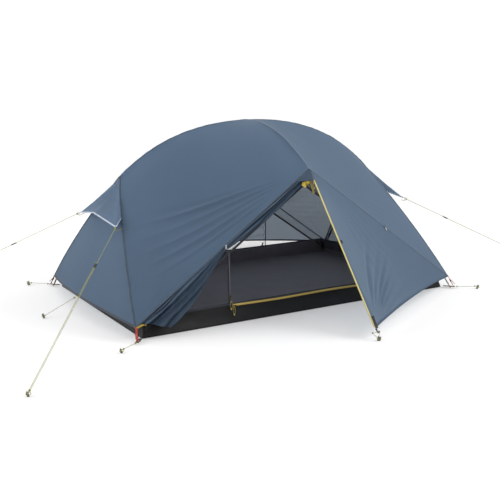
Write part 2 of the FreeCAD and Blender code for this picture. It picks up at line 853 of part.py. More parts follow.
def inner_zips():
    tapes = [strip(*base_zip_line(), dim("zip_width"), dim("zip_height"), Vector(0, 0, 1)),
             strip(*side_zip_line(), dim("zip_width"), dim("zip_height"), Vector(1, 0, 0))]
    feature("inner_rear_zip", Part.makeCompound(tapes))
    return feature("inner_front_zip", Part.makeCompound([mirror_y(tape) for tape in tapes]))


def slider_body():
    """Zip slider: a sleeve round the tape with a hanging pull."""
    body = doc.addObject("PartDesign::Body", "Slider")
    outer = sketch_in(body, "SliderSection")
    sketch_rectangle(outer, "Dims.slider_width", "Dims.slider_height", "Outer")
    sketch_rectangle(outer, "Dims.slider_slot_width", "Dims.slider_slot_height", "Slot")
    doc.recompute()
    pad(body, outer, "Dims.slider_length")
    doc.recompute()
    pull = primitive("Box", "SliderPull", ("-Dims.pull_width / 2", "Dims.slider_height / 2 - 0.5",
                                           "Dims.slider_length / 2 - 3"),
                     Length="Dims.pull_width", Width="1.6", Height="Dims.pull_length")
    full = fuse("SliderWithPull", [body, pull])
    doc.recompute()
    return full.Shape


def sliders():
    """All six sliders, each in its place at rest."""
    shape = slider_body()
    half = dim("slider_length") / 2
    start = FLY_SHOULDER + PORCH_DIRECTION * (ZIP_START + half + 3) + Vector(ZIP_OFFSET, 0, 0)
    across = Vector(1, 0, 0)
    upright = Rotation(across * -1, PORCH_DIRECTION.cross(across * -1), PORCH_DIRECTION, "ZXY")
    rear = placed(shape, start, upright)
    feature("fly_rear_slider", rear)
    feature("fly_front_slider", mirror_y(rear))

    low, high = base_zip_line()
    left = low + Vector(half + 3, 0, 0)
    base = placed(shape, left, Rotation(Vector(0, 0, 1), Vector(0, 1, 0), Vector(-1, 0, 0), "ZXY"))
    low, high = side_zip_line()
    along = Vector(high - low).normalize()
    downward = Rotation(across * -1, Vector(0, 1, 0), along * -1, "ZXY")
    side = placed(shape, low + along * (half + 3), downward)
    feature("inner_rear_slider_base", base)
    feature("inner_rear_slider_side", side)
    feature("inner_front_slider_base", mirror_y(base))
    return feature("inner_front_slider_side", mirror_y(side))


# ---------------------------------------------------------------- small fittings

def clip_shape():
    """Hook that snaps on a pole and hangs the inner tent; pole along Z, stem along -Y."""
    bore_radius = "Dims.pole_od / 2 + Dims.clip_clearance"
    stem_end = "-Dims.pole_od / 2 - Dims.clip_wall / 2 - Dims.clip_stem"
    wall = primitive("Cylinder", "ClipWall", (0, 0, "-Dims.clip_width / 2"),
                     Radius=bore_radius + " + Dims.clip_wall", Height="Dims.clip_width")
    bore = primitive("Cylinder", "ClipBore", (0, 0, "-Dims.clip_width"), Radius=bore_radius,
                     Height="Dims.clip_width * 2")
    mouth = primitive("Box", "ClipMouth", ("-Dims.clip_mouth / 2", "0", "-Dims.clip_width"),
                      Length="Dims.clip_mouth", Width="Dims.pole_od * 2", Height="Dims.clip_width * 2")
    stem = primitive("Box", "ClipStem", ("-Dims.clip_stem_width / 2", stem_end, "-Dims.clip_width / 2"),
                     Length="Dims.clip_stem_width", Width="Dims.clip_stem", Height="Dims.clip_width")
    clip = fuse("Clip", [cut("ClipRing", wall, fuse("ClipVoids", [bore, mouth])), stem])
    doc.recompute()
    return clip.Shape


def clip_on(shape, arc, share, towards):
    """Clip on an arc, its stem pointing towards a point of the inner tent."""
    spot = arc.getParameterByLength(arc.Length * share)
    position = arc.valueAt(spot)
    heading = arc.tangentAt(spot)
    hang = towards - position
    up = (hang - heading * hang.dot(heading)).normalize() * -1
    return placed(shape, position, Rotation(up.cross(heading), up, heading, "ZXY"))


def pole_clips():
    shape = clip_shape()
    ridge = [clip_on(shape, RIDGE_MIDDLE, share, INNER_APEX * 0.5) for share in (0.3, 0.75)]
    ridge += [clip_on(shape, RIDGE_END, share, INNER_HUB * 0.6) for share in (0.35, 0.75)]
    leg = []
    for share in (0.16, 0.34, 0.64, 0.82):
        target = leg_seam(INNER_HUB, TUB_CORNER, 0)(share)
        leg.append(clip_on(shape, LEG, share, target))
    solids = ridge + [mirror_x(clip) for clip in ridge]
    for clip in leg:
        solids += all_quarters(clip)
    return feature("pole_clips", Part.makeCompound(solids))


def corner_direction():
    """Level direction from the tub corner to the pole foot, rear right."""
    start = Vector(dim("floor_length") / 2, dim("floor_width") / 2, 0)
    return Vector(POLE_FOOT.x - start.x, POLE_FOOT.y - start.y, 0).normalize()


WEBBING_Z = 10            # height of the corner webbing above the ground
WEBBING_ROOT = 44         # mm from the pole foot back to the tub wall
WEBBING_TAIL = 30         # mm that it runs on past the pole foot


def corner_webbing():
    """Strap from each tub corner with a grommet for the pole tip."""
    out = corner_direction()
    across = Vector(-out.y, out.x, 0)
    shaft = foot_at(WEBBING_Z)
    root, tail = shaft - out * WEBBING_ROOT, shaft + out * WEBBING_TAIL
    strap = strip(root, tail, dim("webbing_width"), dim("webbing"), across)
    hole = Part.makeCylinder(dim("grommet_bore") / 2, WEBBING_Z, shaft - Vector(0, 0, WEBBING_Z / 2))
    return feature("corner_webbing", Part.makeCompound(all_quarters(strap.cut(hole))))


def foot_at(height):
    """Point of the rear right pole foot at a height."""
    upward = LEG.tangentAt(LEG.LastParameter) * -1
    end = LEG.valueAt(LEG.LastParameter)
    return end + upward * ((height - end.z) / upward.z)


def corner_straps():
    """Adjustable strap from each fly corner to the corner webbing."""
    top = FLY_CORNER + Vector(8, 14, -10)
    out = corner_direction()
    foot = foot_at(WEBBING_Z) + out * 19 + Vector(0, 0, 4)
    run = foot - top
    across = Vector(-out.y, out.x, 0).cross(run).cross(run)
    strap = strip(top, foot, dim("strap_width"), dim("webbing"), across)
    return feature("corner_straps", Part.makeCompound(all_quarters(strap)))


TIE_SHARE = 0.52          # how far down the side seam the rolled porch half is tied


def door_ties():
    """Bands round the two rolled doors, and the toggle of the outer one."""
    seam = FLY_CORNER - FLY_SHOULDER
    spot = FLY_SHOULDER + seam * TIE_SHARE
    along = Vector(seam).normalize()
    below = Vector(0, 1, 0).cross(along).normalize()
    drop = dim("tie_radius") + 3.5
    band = placed(Part.makeTorus(dim("tie_radius"), dim("tie_od") / 2), spot + below * drop + Vector(0, ROLL_OUT, 0),
                  facing(along))
    toggle_top = spot + Vector(0, 34, 6)
    toggle = rod(toggle_top, toggle_top - Vector(0, 0, dim("toggle_length")), dim("toggle_od"))
    outer = [mirror_x(mirror_y(piece)) for piece in (band, toggle)]
    wall = mirrored_y(wall_point(dim("inner_door_half"), TUB_CORNER.z + 120))
    inner = Part.makeTorus(dim("inner_tie_radius"), dim("tie_od") / 2, wall + Vector(-ROLL_IN, ROLL_IN + 2, 0))
    return feature("door_ties", Part.makeCompound(outer + [inner]))


# ---------------------------------------------------------------- stakes and lines

def stake_axis(outward):
    """Stakes lean away from the pull."""
    lean = math.radians(dim("stake_lean"))
    return Vector(outward.x * math.sin(lean), outward.y * math.sin(lean), math.cos(lean))


def stake_shape():
    """Folded-sheet stake with a cord hole; Z along its length, ground at Z = 0."""
    low = "-(Dims.stake_length - Dims.stake_head)"
    corner = "-Dims.stake_flange / 2"
    flange = primitive("Box", "StakeFlange", (corner, corner, low), Length="Dims.stake_flange",
                       Width="Dims.stake_sheet", Height="Dims.stake_length")
    web = primitive("Box", "StakeWeb", (corner, corner, low), Length="Dims.stake_sheet",
                    Width="Dims.stake_flange", Height="Dims.stake_length")
    notch = primitive("Cylinder", "StakeHole", ("Dims.stake_flange / 6", "-Dims.stake_flange", "Dims.stake_head - 8"),
                      Radius="2", Height="Dims.stake_flange * 2")
    notch.Placement.Rotation = Rotation(Vector(1, 0, 0), -90)
    taper = primitive("Box", "StakeTaper", Length="Dims.stake_flange * 2", Width="Dims.stake_flange * 2",
                      Height="Dims.stake_flange")
    taper.Placement = Placement(Vector(-dim("stake_flange") / 2 + 2, -dim("stake_flange") / 2,
                                       dim("stake_head") - dim("stake_length")),
                                Rotation(Vector(-1, 1, 0), -35))
    blank = fuse("StakeBlank", [flange, web])
    stake = cut("Stake", cut("StakeTapered", blank, taper), notch)
    doc.recompute()
    return stake.Shape


RING_HEIGHT = 12          # mm up the stake where its cord loop sits
RING_BORE = 19            # mm inside the cord loop
KNOT_GAP = 2.4            # mm from the middle of a loop to the end of the cord tied to it


def guy_bearing(side, end):
    return dim("guy_bearing_open") if (side, end) == (RIGHT, FRONT) else dim("guy_bearing")


def guy_ground(side, end):
    """Where a guyline meets the ground."""
    bearing = math.radians(guy_bearing(side, end))
    reach = dim("guy_reach")
    return Vector(side * (VENT_TIP.x + reach * math.cos(bearing)), end * (VENT_TIP.y + reach * math.sin(bearing)), 0)


def anchors():
    """Every stake: name, ground point and outward direction of its lean."""
    spots = []
    diagonal = corner_direction()
    for end_word, end in ENDS.items():
        for side_word, side in SIDES.items():
            out = Vector(side * diagonal.x, end * diagonal.y, 0)
            foot = Vector(side * (dim("pole_foot_x") + 130), end * (dim("pole_foot_y") + 100), 0)
            spots.append(("stake_%s_%s" % (end_word, side_word), foot, out))
    for end_word, end in ENDS.items():
        for side_word, side in SIDES.items():
            bearing = math.radians(guy_bearing(side, end))
            out = Vector(side * math.cos(bearing), end * math.sin(bearing), 0)
            spots.append(("guy_stake_%s_%s" % (end_word, side_word), guy_ground(side, end), out))
    for side_word, side in SIDES.items():
        spots.append(("hem_stake_" + side_word, Vector(side * 1325, 0, 0), Vector(side, 0, 0)))
    for end_word, end in ENDS.items():
        spots.append(("porch_stake_" + end_word, Vector(0, end * (dim("porch_y") + 34), 0), Vector(0, end, 0)))
    return spots


ANCHORS = anchors()


def ring_centre(ground, outward):
    return ground + stake_axis(outward) * RING_HEIGHT


def stakes():
    shape = stake_shape()
    for name, ground, outward in ANCHORS:
        obj = feature(name, shape)
        obj.Placement = Placement(ground, facing(stake_axis(outward)))


def stake_ring(ground, outward):
    """Loop of cord round a stake."""
    radius = (RING_BORE + dim("line_od")) / 2
    ring = Part.makeTorus(radius, dim("line_od") / 2)
    return placed(ring, ring_centre(ground, outward), facing(stake_axis(outward)))


def ring_rim(ground, outward, towards):
    """Point on a stake's loop nearest to a point."""
    axis = stake_axis(outward)
    centre = ring_centre(ground, outward)
    aim = towards - centre
    flat = aim - axis * aim.dot(axis)
    return centre + flat.normalize() * ((RING_BORE + dim("line_od")) / 2)


def cord(start, end, at_start=0.0):
    """Cord that stops just short of the loop at its end, and of what is at its start."""
    along = Vector(end - start).normalize()
    return rod(start + along * at_start, end - along * KNOT_GAP, dim("line_od"))


def tether(start, name):
    """Cord from a point of the tent to the loop of a named stake."""
    ground, outward = next((g, o) for n, g, o in ANCHORS if n == name)
    return [stake_ring(ground, outward), cord(start, ring_rim(ground, outward, start))]


def porch_bar(end):
    """Middle of the cord bar that the porch hooks clip on."""
    return Vector(0, end * (PORCH_TIP.y + 12), 36)


def porch_tether(end_word, end):
    """Stake loop with a level bar for the door hooks."""
    ground, outward = next((g, o) for n, g, o in ANCHORS if n == "porch_stake_" + end_word)
    bar = porch_bar(end)
    half = Vector(22, 0, 0)
    pieces = [stake_ring(ground, outward), rod(bar - half, bar + half, dim("line_od"))]
    for point in (bar - half, bar + half):
        pieces.append(cord(point, ring_rim(ground, outward, point), KNOT_GAP))
    return pieces


def stake_cords():
    """Cords of the corners, the hem middles and the porch tips."""
    solids = []
    tail = foot_at(WEBBING_Z) + corner_direction() * (WEBBING_TAIL + 4)
    for end_word, end in ENDS.items():
        for side_word, side in SIDES.items():
            start = Vector(side * tail.x, end * tail.y, tail.z)
            solids += tether(start, "stake_%s_%s" % (end_word, side_word))
    for side_word, side in SIDES.items():
        hem = Vector(side * (FLY_CORNER.x + dim("hem_pull_x") + 12), 0, FLY_CORNER.z + dim("hem_pull_z") - 4)
        solids += tether(hem, "hem_stake_" + side_word)
    for end_word, end in ENDS.items():
        solids += porch_tether(end_word, end)
    return feature("stake_cords", Part.makeCompound(solids))


TENSIONER_SHARE = {("front", "left"): 0.27, ("front", "right"): 0.24, ("rear", "left"): 0.42, ("rear", "right"): 0.3}


def guy_frame(end_word, side_word):
    """Start, direction, length and side direction of a guyline."""
    side, end = SIDES[side_word], ENDS[end_word]
    ground, outward = next((g, o) for n, g, o in ANCHORS if n == "guy_stake_%s_%s" % (end_word, side_word))
    tip = Vector(side * (VENT_TIP.x + 9), end * (VENT_TIP.y + 9), VENT_TIP.z - 4)
    foot = ring_rim(ground, outward, tip)
    run = foot - tip
    along = Vector(run).normalize()
    level = along.cross(Vector(0, 0, 1)).normalize()
    return tip, along, run.Length, level


def guyline(end_word, side_word):
    """Single cord to the tensioner, doubled from there to the stake."""
    tip, along, length, level = guy_frame(end_word, side_word)
    ground, outward = next((g, o) for n, g, o in ANCHORS if n == "guy_stake_%s_%s" % (end_word, side_word))
    offset = level * dim("line_spacing")
    start = length * TENSIONER_SHARE[(end_word, side_word)] - dim("tensioner_length") / 2 - 6
    foot = tip + along * length
    double = cord(tip + along * start + offset, foot + offset)
    return [stake_ring(ground, outward), cord(tip, foot), double]


def guylines():
    solids = []
    for end_word in ENDS:
        for side_word in SIDES:
            solids += guyline(end_word, side_word)
    return feature("guylines", Part.makeCompound(solids))


def tensioners():
    """Line-tightening blocks with two bores for the doubled cord."""
    body = doc.addObject("PartDesign::Body", "Tensioner")
    section = sketch_in(body, "TensionerSection")
    sketch_rectangle(section, "Dims.tensioner_width", "Dims.tensioner_height", "Block")
    sketch_circle(section, "Dims.line_spacing / 2", "Dims.line_od / 2 + Dims.line_clearance", "Bore")
    doc.recompute()
    pad(body, section, "Dims.tensioner_length")
    second = primitive("Cylinder", "SecondBore", ("-Dims.line_spacing / 2", 0, "-Dims.tensioner_length"),
                       Radius="Dims.line_od / 2 + Dims.line_clearance", Height="Dims.tensioner_length * 2")
    block = cut("TensionerBlock", body, second)
    doc.recompute()
    for end_word in ENDS:
        for side_word in SIDES:
            tip, along, length, level = guy_frame(end_word, side_word)
            share = TENSIONER_SHARE[(end_word, side_word)]
            centre = tip + along * (length * share) + level * (dim("line_spacing") / 2)
            obj = feature("tensioner_%s_%s" % (end_word, side_word), block.Shape)
            obj.Placement = Placement(centre, Rotation(level, along.cross(level), along, "ZXY"))


def door_hook(x):
    """Webbing tab and open hook at the porch tip of a rear door."""
    centre = porch_bar(REAR) + Vector(x, 0, 0)
    up = PORCH_DIRECTION * -1
    mouth = Vector(0, -up.z, up.y)
    across = Vector(1, 0, 0)
    width = dim("hook_width")
    origin = centre - across * (width / 2)
    ring = Part.makeCylinder(dim("hook_od") / 2, width, origin, across)
    bore = Part.makeCylinder(dim("hook_bore") / 2, width, origin, across)
    gap = strip(centre, centre + mouth * dim("hook_od"), width * 4, dim("hook_bore"), across)
    stem = strip(centre + up * 5.2, centre + up * 16, width, 6, across)
    tab = strip(centre + up * 14, centre + up * 20, dim("strap_width"), dim("webbing"), across)
    return ring.cut(bore).cut(gap).multiFuse([stem, tab])


HOOK_OFFSET = 10          # mm of each door hook from the middle plane


def door_hooks():
    right = door_hook(HOOK_OFFSET)
    feature("front_hook", mirror_y(right))
    feature("rear_hook_right", right)
    return feature("rear_hook_left", mirror_x(right))


# ---------------------------------------------------------------- build and write

BUILDERS = [
    ridge_pole, leg_poles, cross_pole, pole_ferrules, shock_cord, end_hubs, centre_hub, pole_tips,
    cross_pole_caps, tub_floor, inner_walls, inner_rear_door, inner_front_door, inner_zips,
    fly_front_door_left, fly_front_door_right, fly_rear_door_left, fly_rear_door_right, fly_zips,
    vent_hoods, vent_trims, vent_meshes, sliders, pole_clips, corner_webbing, corner_straps,
    door_ties, stakes, stake_cords, guylines, tensioners, door_hooks, roofs, end_walls,
]
for build in BUILDERS:
    build()
doc.recompute()

for obj in doc.Objects:
    if "Invalid" in obj.State or "Error" in obj.State:
        raise RuntimeError("%s failed to recompute" % obj.Label)
for obj in NODES:
    if obj.Shape.isNull() or not obj.Shape.isValid():
        raise RuntimeError("%s has no valid shape" % obj.Label)

os.makedirs("parts", exist_ok=True)
for obj in NODES:
    obj.Shape.exportStep("parts/%s.step" % obj.Label)
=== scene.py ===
import math

import bpy
import numpy as np
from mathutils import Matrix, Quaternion, Vector
from mathutils.bvhtree import BVHTree


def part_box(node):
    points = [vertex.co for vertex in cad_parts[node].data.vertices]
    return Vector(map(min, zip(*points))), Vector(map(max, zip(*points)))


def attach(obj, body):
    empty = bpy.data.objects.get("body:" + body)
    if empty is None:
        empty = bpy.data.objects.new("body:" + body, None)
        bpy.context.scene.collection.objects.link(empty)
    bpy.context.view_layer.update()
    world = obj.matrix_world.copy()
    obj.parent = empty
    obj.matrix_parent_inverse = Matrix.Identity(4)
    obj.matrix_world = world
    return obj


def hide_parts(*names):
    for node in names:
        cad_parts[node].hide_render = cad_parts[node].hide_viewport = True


# Two-person double-wall tent. Metres; +X along the sleeping length, -Y the front
# door, +Z up. The left porch half is rolled back, the right one stands closed.
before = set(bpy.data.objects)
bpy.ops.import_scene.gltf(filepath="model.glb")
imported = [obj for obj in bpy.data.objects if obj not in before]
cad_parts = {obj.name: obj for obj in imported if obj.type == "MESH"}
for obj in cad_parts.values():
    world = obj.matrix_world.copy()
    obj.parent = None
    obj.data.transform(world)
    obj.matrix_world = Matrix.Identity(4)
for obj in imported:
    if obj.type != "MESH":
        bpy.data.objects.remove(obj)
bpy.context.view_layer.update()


def vec(*numbers):
    return np.array(numbers, float)


# ---------------------------------------------------------------- reference points

# All of them at +X +Y; the rest of the tent mirrors them.
APEX = vec(0, 0, 1.047)
HUB = vec(0.850, 0, 0.755)             # where the ridge meets two legs
SHOULDER = vec(0, 0.652, 0.808)        # end of the cross pole, top of the porch
CORNER = vec(1.055, 0.655, 0.070)      # lower corner of the outer tent
LEG_BOW = 0.025                        # how far a leg seam bows out
HEM_PULL = vec(0.075, 0, 0.030)        # how far its line pulls the middle of an end hem
PORCH_TIP = vec(0, 1.250, 0.056)
PORCH_LIFT = 0.020                     # rise of a porch hem between its ends
VENT_TIP = vec(0.992, 0.284, 0.523)    # corner of a hood, where the guyline starts
VENT_PEAK = vec(1.010, 0, 0.563)       # middle of a hood's free edge
INNER_APEX = vec(0, 0, 0.985)
INNER_HUB = vec(0.790, 0, 0.690)
INNER_SHOULDER = vec(0, 0.600, 0.715)
INNER_CORNER = vec(1.000, 0.626, 0.036)   # inside the tub, so that the net starts below its rim
TUB_TOP = vec(0.985, 0.615, 0.100)
TUB_BASE = vec(1.015, 0.640, 0.0)
INNER_DOOR_HALF = 0.490
POLE_FOOT = vec(1.053, 0.684, 0.010)
GUY_REACH = 1.110                      # from a hood's corner to its stake, over the ground
GUY_BEARING = {("front", "right"): 38}   # degrees away from X
USUAL_BEARING = 48
TENSIONER_SHARE = {                    # how far down its line a tensioner stands
    ("front", "left"): 0.27,
    ("front", "right"): 0.24,
    ("rear", "left"): 0.42,
    ("rear", "right"): 0.30,
}
STAKE_LEAN = math.radians(18)
CORNER_OUT = (POLE_FOOT - TUB_BASE) * vec(1, 1, 0)
CORNER_OUT /= np.linalg.norm(CORNER_OUT)   # level, out of the corner past the pole's foot
CORNER_ACROSS = vec(-CORNER_OUT[1], CORNER_OUT[0], 0)
CORD = 0.0016                          # radius of the guy cord

SIDES = {"left": -1, "right": 1}
ENDS = {"front": -1, "rear": 1}
QUARTERS = [(side, end) for side in (1, -1) for end in (1, -1)]
UP = vec(0, 0, 1)
PORCH_DOWN = (PORCH_TIP - SHOULDER) / np.linalg.norm(PORCH_TIP - SHOULDER)
PORCH_OUT = vec(0, -PORCH_DOWN[2], PORCH_DOWN[1])   # out of the rear porch's ridge
TO_RIGHT = vec(-1, 1, 1)   # mirrors between left and right
TO_FRONT = vec(1, -1, 1)   # mirrors between rear and front


# ---------------------------------------------------------------- small mathematics

def unit(v):
    return v / np.maximum(np.linalg.norm(v, axis=-1, keepdims=True), 1e-12)


def mix(a, b, share):
    return a + (b - a) * np.asarray(share, float)[..., None]


def smooth(low, high, value):
    t = np.clip((value - low) / (high - low), 0, 1)
    return t * t * (3 - 2 * t)


def lattice(columns, rows):
    """Two parameter arrays from 0 to 1."""
    return np.meshgrid(np.linspace(0, 1, columns + 1), np.linspace(0, 1, rows + 1), indexing="ij")


def both_ways(path, turn):
    """A path from the middle of the tent, joined to its mirror image."""
    return np.concatenate([(path * turn)[::-1], path[1:]])


def coons(top, bottom, left, right):
    """Surface spanned by four edge curves."""
    def point(u, v):
        across = mix(top(u), bottom(u), v)
        down = mix(left(v), right(v), u)
        zero = np.zeros_like(u)
        first = mix(top(zero), top(zero + 1), u)
        last = mix(bottom(zero), bottom(zero + 1), u)
        return across + down - mix(first, last, v)
    return point


def soft_noise(points, wavelength, seed=0.0):
    """Smooth deterministic noise, about -1 to 1."""
    total = np.zeros(points.shape[:-1])
    for k in range(6):
        turn = 2.4 * k + seed
        lift = math.cos(1.7 * k + seed)
        heading = vec(math.cos(turn), math.sin(turn), lift)
        stretch = 1 + 0.37 * k
        total += np.sin(points @ heading * (2 * math.pi * stretch / wavelength) + 5.1 * k + seed) / stretch
    return total / 2.2


def fan(points, origin, axis, normal, span, count, near, reach):
    """Pinched tension wrinkles that run out from a point between two angles from an axis."""
    first, last = span
    offset = points - origin
    distance = np.linalg.norm(offset, axis=-1)
    angle = np.arctan2(offset @ np.cross(normal, axis), offset @ axis)
    phase = count / 2 * angle + 1.3 * np.sin(7 * angle) + 0.5 * np.sin(distance * 7)
    ridges = 1 - 2 * np.abs(np.sin(phase)) ** 0.8
    patchy = 0.75 + 0.25 * np.sin(19 * angle + distance * 6)
    width = (last - first) * 0.22
    inside = smooth(first, first + width, angle) * (1 - smooth(last - width, last, angle))
    along = smooth(0.03, near, distance) * (1 - smooth(near, reach, distance))
    return ridges * patchy * inside * along


# ---------------------------------------------------------------- mesh building

class Cloth:
    """Points, quads and texture corners of a piece under construction."""

    def __init__(self):
        self.points = np.zeros((0, 3))
        self.slack = np.zeros(0)
        self.quads = np.zeros((0, 4), int)
        self.corners = np.zeros((0, 4, 2))
        self.polygons = []

    def grid(self, points, size=(1.0, 1.0), flip=False, keep=None, slack=None, wrap=False):
        """Quads over an array of points; size is the texture's extent in metres."""
        columns, rows = points.shape[:2]
        start = len(self.points)
        index = np.arange(columns * rows).reshape(columns, rows) + start
        if wrap:
            index = np.concatenate([index, index[:, :1]], axis=1)
        u, v = lattice(index.shape[0] - 1, index.shape[1] - 1)
        uv = np.stack([u * size[0], v * size[1]], -1)
        corners = ((slice(None, -1), slice(None, -1)), (slice(1, None), slice(None, -1)),
                   (slice(1, None), slice(1, None)), (slice(None, -1), slice(1, None)))
        quads = np.stack([index[c] for c in corners], -1)
        uvs = np.stack([uv[c] for c in corners], -2)
        if flip:
            quads = quads[..., ::-1]
            uvs = uvs[..., ::-1, :]
        chosen = np.ones(quads.shape[:2], bool) if keep is None else keep
        self.quads = np.concatenate([self.quads, quads[chosen]])
        self.corners = np.concatenate([self.corners, uvs[chosen]])
        self.points = np.concatenate([self.points, points.reshape(-1, 3)])
        loose = np.ones(columns * rows) if slack is None else slack.reshape(-1)
        self.slack = np.concatenate([self.slack, loose])
        return index

    def weld(self, distance=1e-5):
        """Join points that lie in the same place."""
        key = np.round(self.points / distance).astype(np.int64)
        _, first, inverse = np.unique(key, axis=0, return_index=True, return_inverse=True)
        inverse = inverse.reshape(-1)
        self.points = self.points[first]
        self.slack = self.slack[first]
        self.quads = inverse[self.quads]
        self.polygons = [[inverse[i] for i in polygon] for polygon in self.polygons]
        return self

    def normals(self):
        p = self.points[self.quads]
        face = np.cross(p[:, 2] - p[:, 0], p[:, 3] - p[:, 1])
        total = np.zeros_like(self.points)
        for k in range(4):
            np.add.at(total, self.quads[:, k], face)
        return unit(total)

    def push(self, height):
        """Move points along their normals."""
        self.points = self.points + self.normals() * height[:, None]
        return self

    def tree(self):
        return BVHTree.FromPolygons([tuple(p) for p in self.points], self.quads.tolist())

    def add(self, other):
        shift = len(self.points)
        self.points = np.concatenate([self.points, other.points])
        self.slack = np.concatenate([self.slack, other.slack])
        self.quads = np.concatenate([self.quads, other.quads + shift])
        self.corners = np.concatenate([self.corners, other.corners])
        self.polygons += [[i + shift for i in polygon] for polygon in other.polygons]
        return self

    def mirrored(self, side, end):
        """Copy in another quarter of the tent, drawn at +X +Y."""
        copy = Cloth().add(self)
        copy.points = copy.points * vec(side, end, 1)
        if side * end < 0:
            copy.quads = copy.quads[:, ::-1]
            copy.corners = copy.corners[:, ::-1]
            copy.polygons = [polygon[::-1] for polygon in copy.polygons]
        return copy

    def in_quarters(self):
        """The four copies of a thing drawn at +X +Y."""
        whole = Cloth()
        for side, end in QUARTERS:
            whole.add(self.mirrored(side, end))
        return whole

    def piece(self, name, materials, body, slot, replaces=(), thickness=0.0):
        """Blender object that rides on a body; thin cloth gets its thickness inward."""
        faces, uvs = [], []
        for quad, corner in zip(self.quads.tolist(), self.corners.tolist()):
            kept = [k for k in range(4) if quad[k] != quad[k - 1]]
            if len(kept) > 2:
                faces.append([quad[k] for k in kept])
                uvs += [corner[k] for k in kept]
        for polygon in self.polygons:
            faces.append([int(i) for i in polygon])
            uvs += [[0.0, 0.0]] * len(polygon)
        mesh = bpy.data.meshes.new(name)
        mesh.from_pydata([tuple(p) for p in self.points], [], faces)
        layer = mesh.uv_layers.new(name="cloth")
        layer.data.foreach_set("uv", np.array(uvs, np.float32).ravel())
        mesh.polygons.foreach_set("use_smooth", [True] * len(faces))
        mesh.validate()
        mesh.update()
        obj = bpy.data.objects.new(name, mesh)
        bpy.context.scene.collection.objects.link(obj)
        for material in materials if isinstance(materials, list) else [materials]:
            mesh.materials.append(material)
        if thickness:
            solid = obj.modifiers.new("Thickness", "SOLIDIFY")
            solid.thickness = thickness
            solid.offset = -1
            solid.material_offset = len(mesh.materials) - 1
        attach(obj, body)
        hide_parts(*replaces)
        return obj


def resample(points, step):
    """Even steps along a polyline."""
    points = np.asarray(points, float)
    length = np.concatenate([[0], np.cumsum(np.linalg.norm(np.diff(points, axis=0), axis=1))])
    count = max(2, int(round(length[-1] / step)) + 1)
    places = np.linspace(0, length[-1], count)
    return np.stack([np.interp(places, length, points[:, k]) for k in range(3)], -1)


def sweep(path, profile, up, turn=0.0, swell=None, closed=False):
    """Solid along a path. The profile's first axis is across, its second is up."""
    path = np.asarray(path, float)
    if closed:
        ahead, behind = np.roll(path, -1, 0), np.roll(path, 1, 0)
        tangent = unit(ahead - behind)
    else:
        tangent = unit(np.gradient(path, axis=0))
    up = np.broadcast_to(np.asarray(up, float), path.shape)
    side = unit(np.cross(tangent, up))
    top = np.cross(side, tangent)
    steps = np.linalg.norm(np.diff(path, axis=0), axis=1)
    length = np.concatenate([[0], np.cumsum(steps)])
    angle = turn * length
    scale = np.ones(len(path)) if swell is None else np.asarray(swell, float)
    a = np.cos(angle)[:, None] * profile[None, :, 0] - np.sin(angle)[:, None] * profile[None, :, 1]
    b = np.sin(angle)[:, None] * profile[None, :, 0] + np.cos(angle)[:, None] * profile[None, :, 1]
    offset = side[:, None] * a[..., None] + top[:, None] * b[..., None]
    points = path[:, None] + offset * scale[:, None, None]
    if closed:
        points = np.concatenate([points, points[:1]])
    girth = np.linalg.norm(np.roll(profile, -1, 0) - profile, axis=1).sum()
    solid = Cloth()
    index = solid.grid(points, size=(length[-1], girth), flip=True, wrap=True)
    if closed:
        return solid.weld(1e-7)
    solid.polygons = [index[0, :-1].tolist(), index[-1, :-1][::-1].tolist()]
    return solid


def ribbon_profile(width, thickness):
    """Flat section with rounded edges, lying on zero height."""
    half = width / 2
    rim = thickness * 0.45
    low = [(-half, 0.25), (-half + rim, 0), (-half * 0.4, 0), (half * 0.4, 0), (half - rim, 0), (half, 0.25)]
    high = [(x, 1 - z) for x, z in reversed(low)]
    return np.array([(x, z * thickness) for x, z in low + high])


def round_profile(radius, sides=12, lobes=0, depth=0.0):
    """Round section, or one with the lobes of a laid cord."""
    angle = np.linspace(0, 2 * math.pi, sides, endpoint=False)
    reach = radius * (1 - depth + depth * np.cos(lobes * angle))
    return np.stack([reach * np.cos(angle), reach * np.sin(angle)], -1)


def cord(path, radius=CORD, closed=False, step=0.003):
    """Three-strand laid cord."""
    path = np.asarray(path, float)
    if not closed:
        path = resample(path, step)
    run = path[-1] - path[0]
    up = UP if abs(unit(run)[2]) < 0.9 or closed else vec(1, 0, 0)
    return sweep(path, round_profile(radius, 9, 3, 0.12), up, turn=2 * math.pi / 0.012, closed=closed)


def ring_path(centre, axis, radius, count=40):
    """Points of a circle."""
    axis = unit(np.asarray(axis, float))
    first = unit(np.cross(axis, vec(0.3, 0.9, 0.1)))
    second = np.cross(axis, first)
    angle = np.linspace(0, 2 * math.pi, count, endpoint=False)[:, None]
    return centre + radius * (np.cos(angle) * first + np.sin(angle) * second)


def knot(centre, axis, size=0.0045, radius=CORD):
    """Overhand knot: a closed trefoil of cord."""
    axis = unit(np.asarray(axis, float))
    first = unit(np.cross(axis, vec(0.2, 0.1, 0.97)))
    second = np.cross(axis, first)
    t = np.linspace(0, 2 * math.pi, 60, endpoint=False)[:, None]
    a = (np.sin(t) + 2 * np.sin(2 * t)) / 3
    b = (np.cos(t) - 2 * np.cos(2 * t)) / 3
    c = -np.sin(3 * t) / 2.2
    return cord(centre + size * (a * first + b * second + c * axis), radius, closed=True)


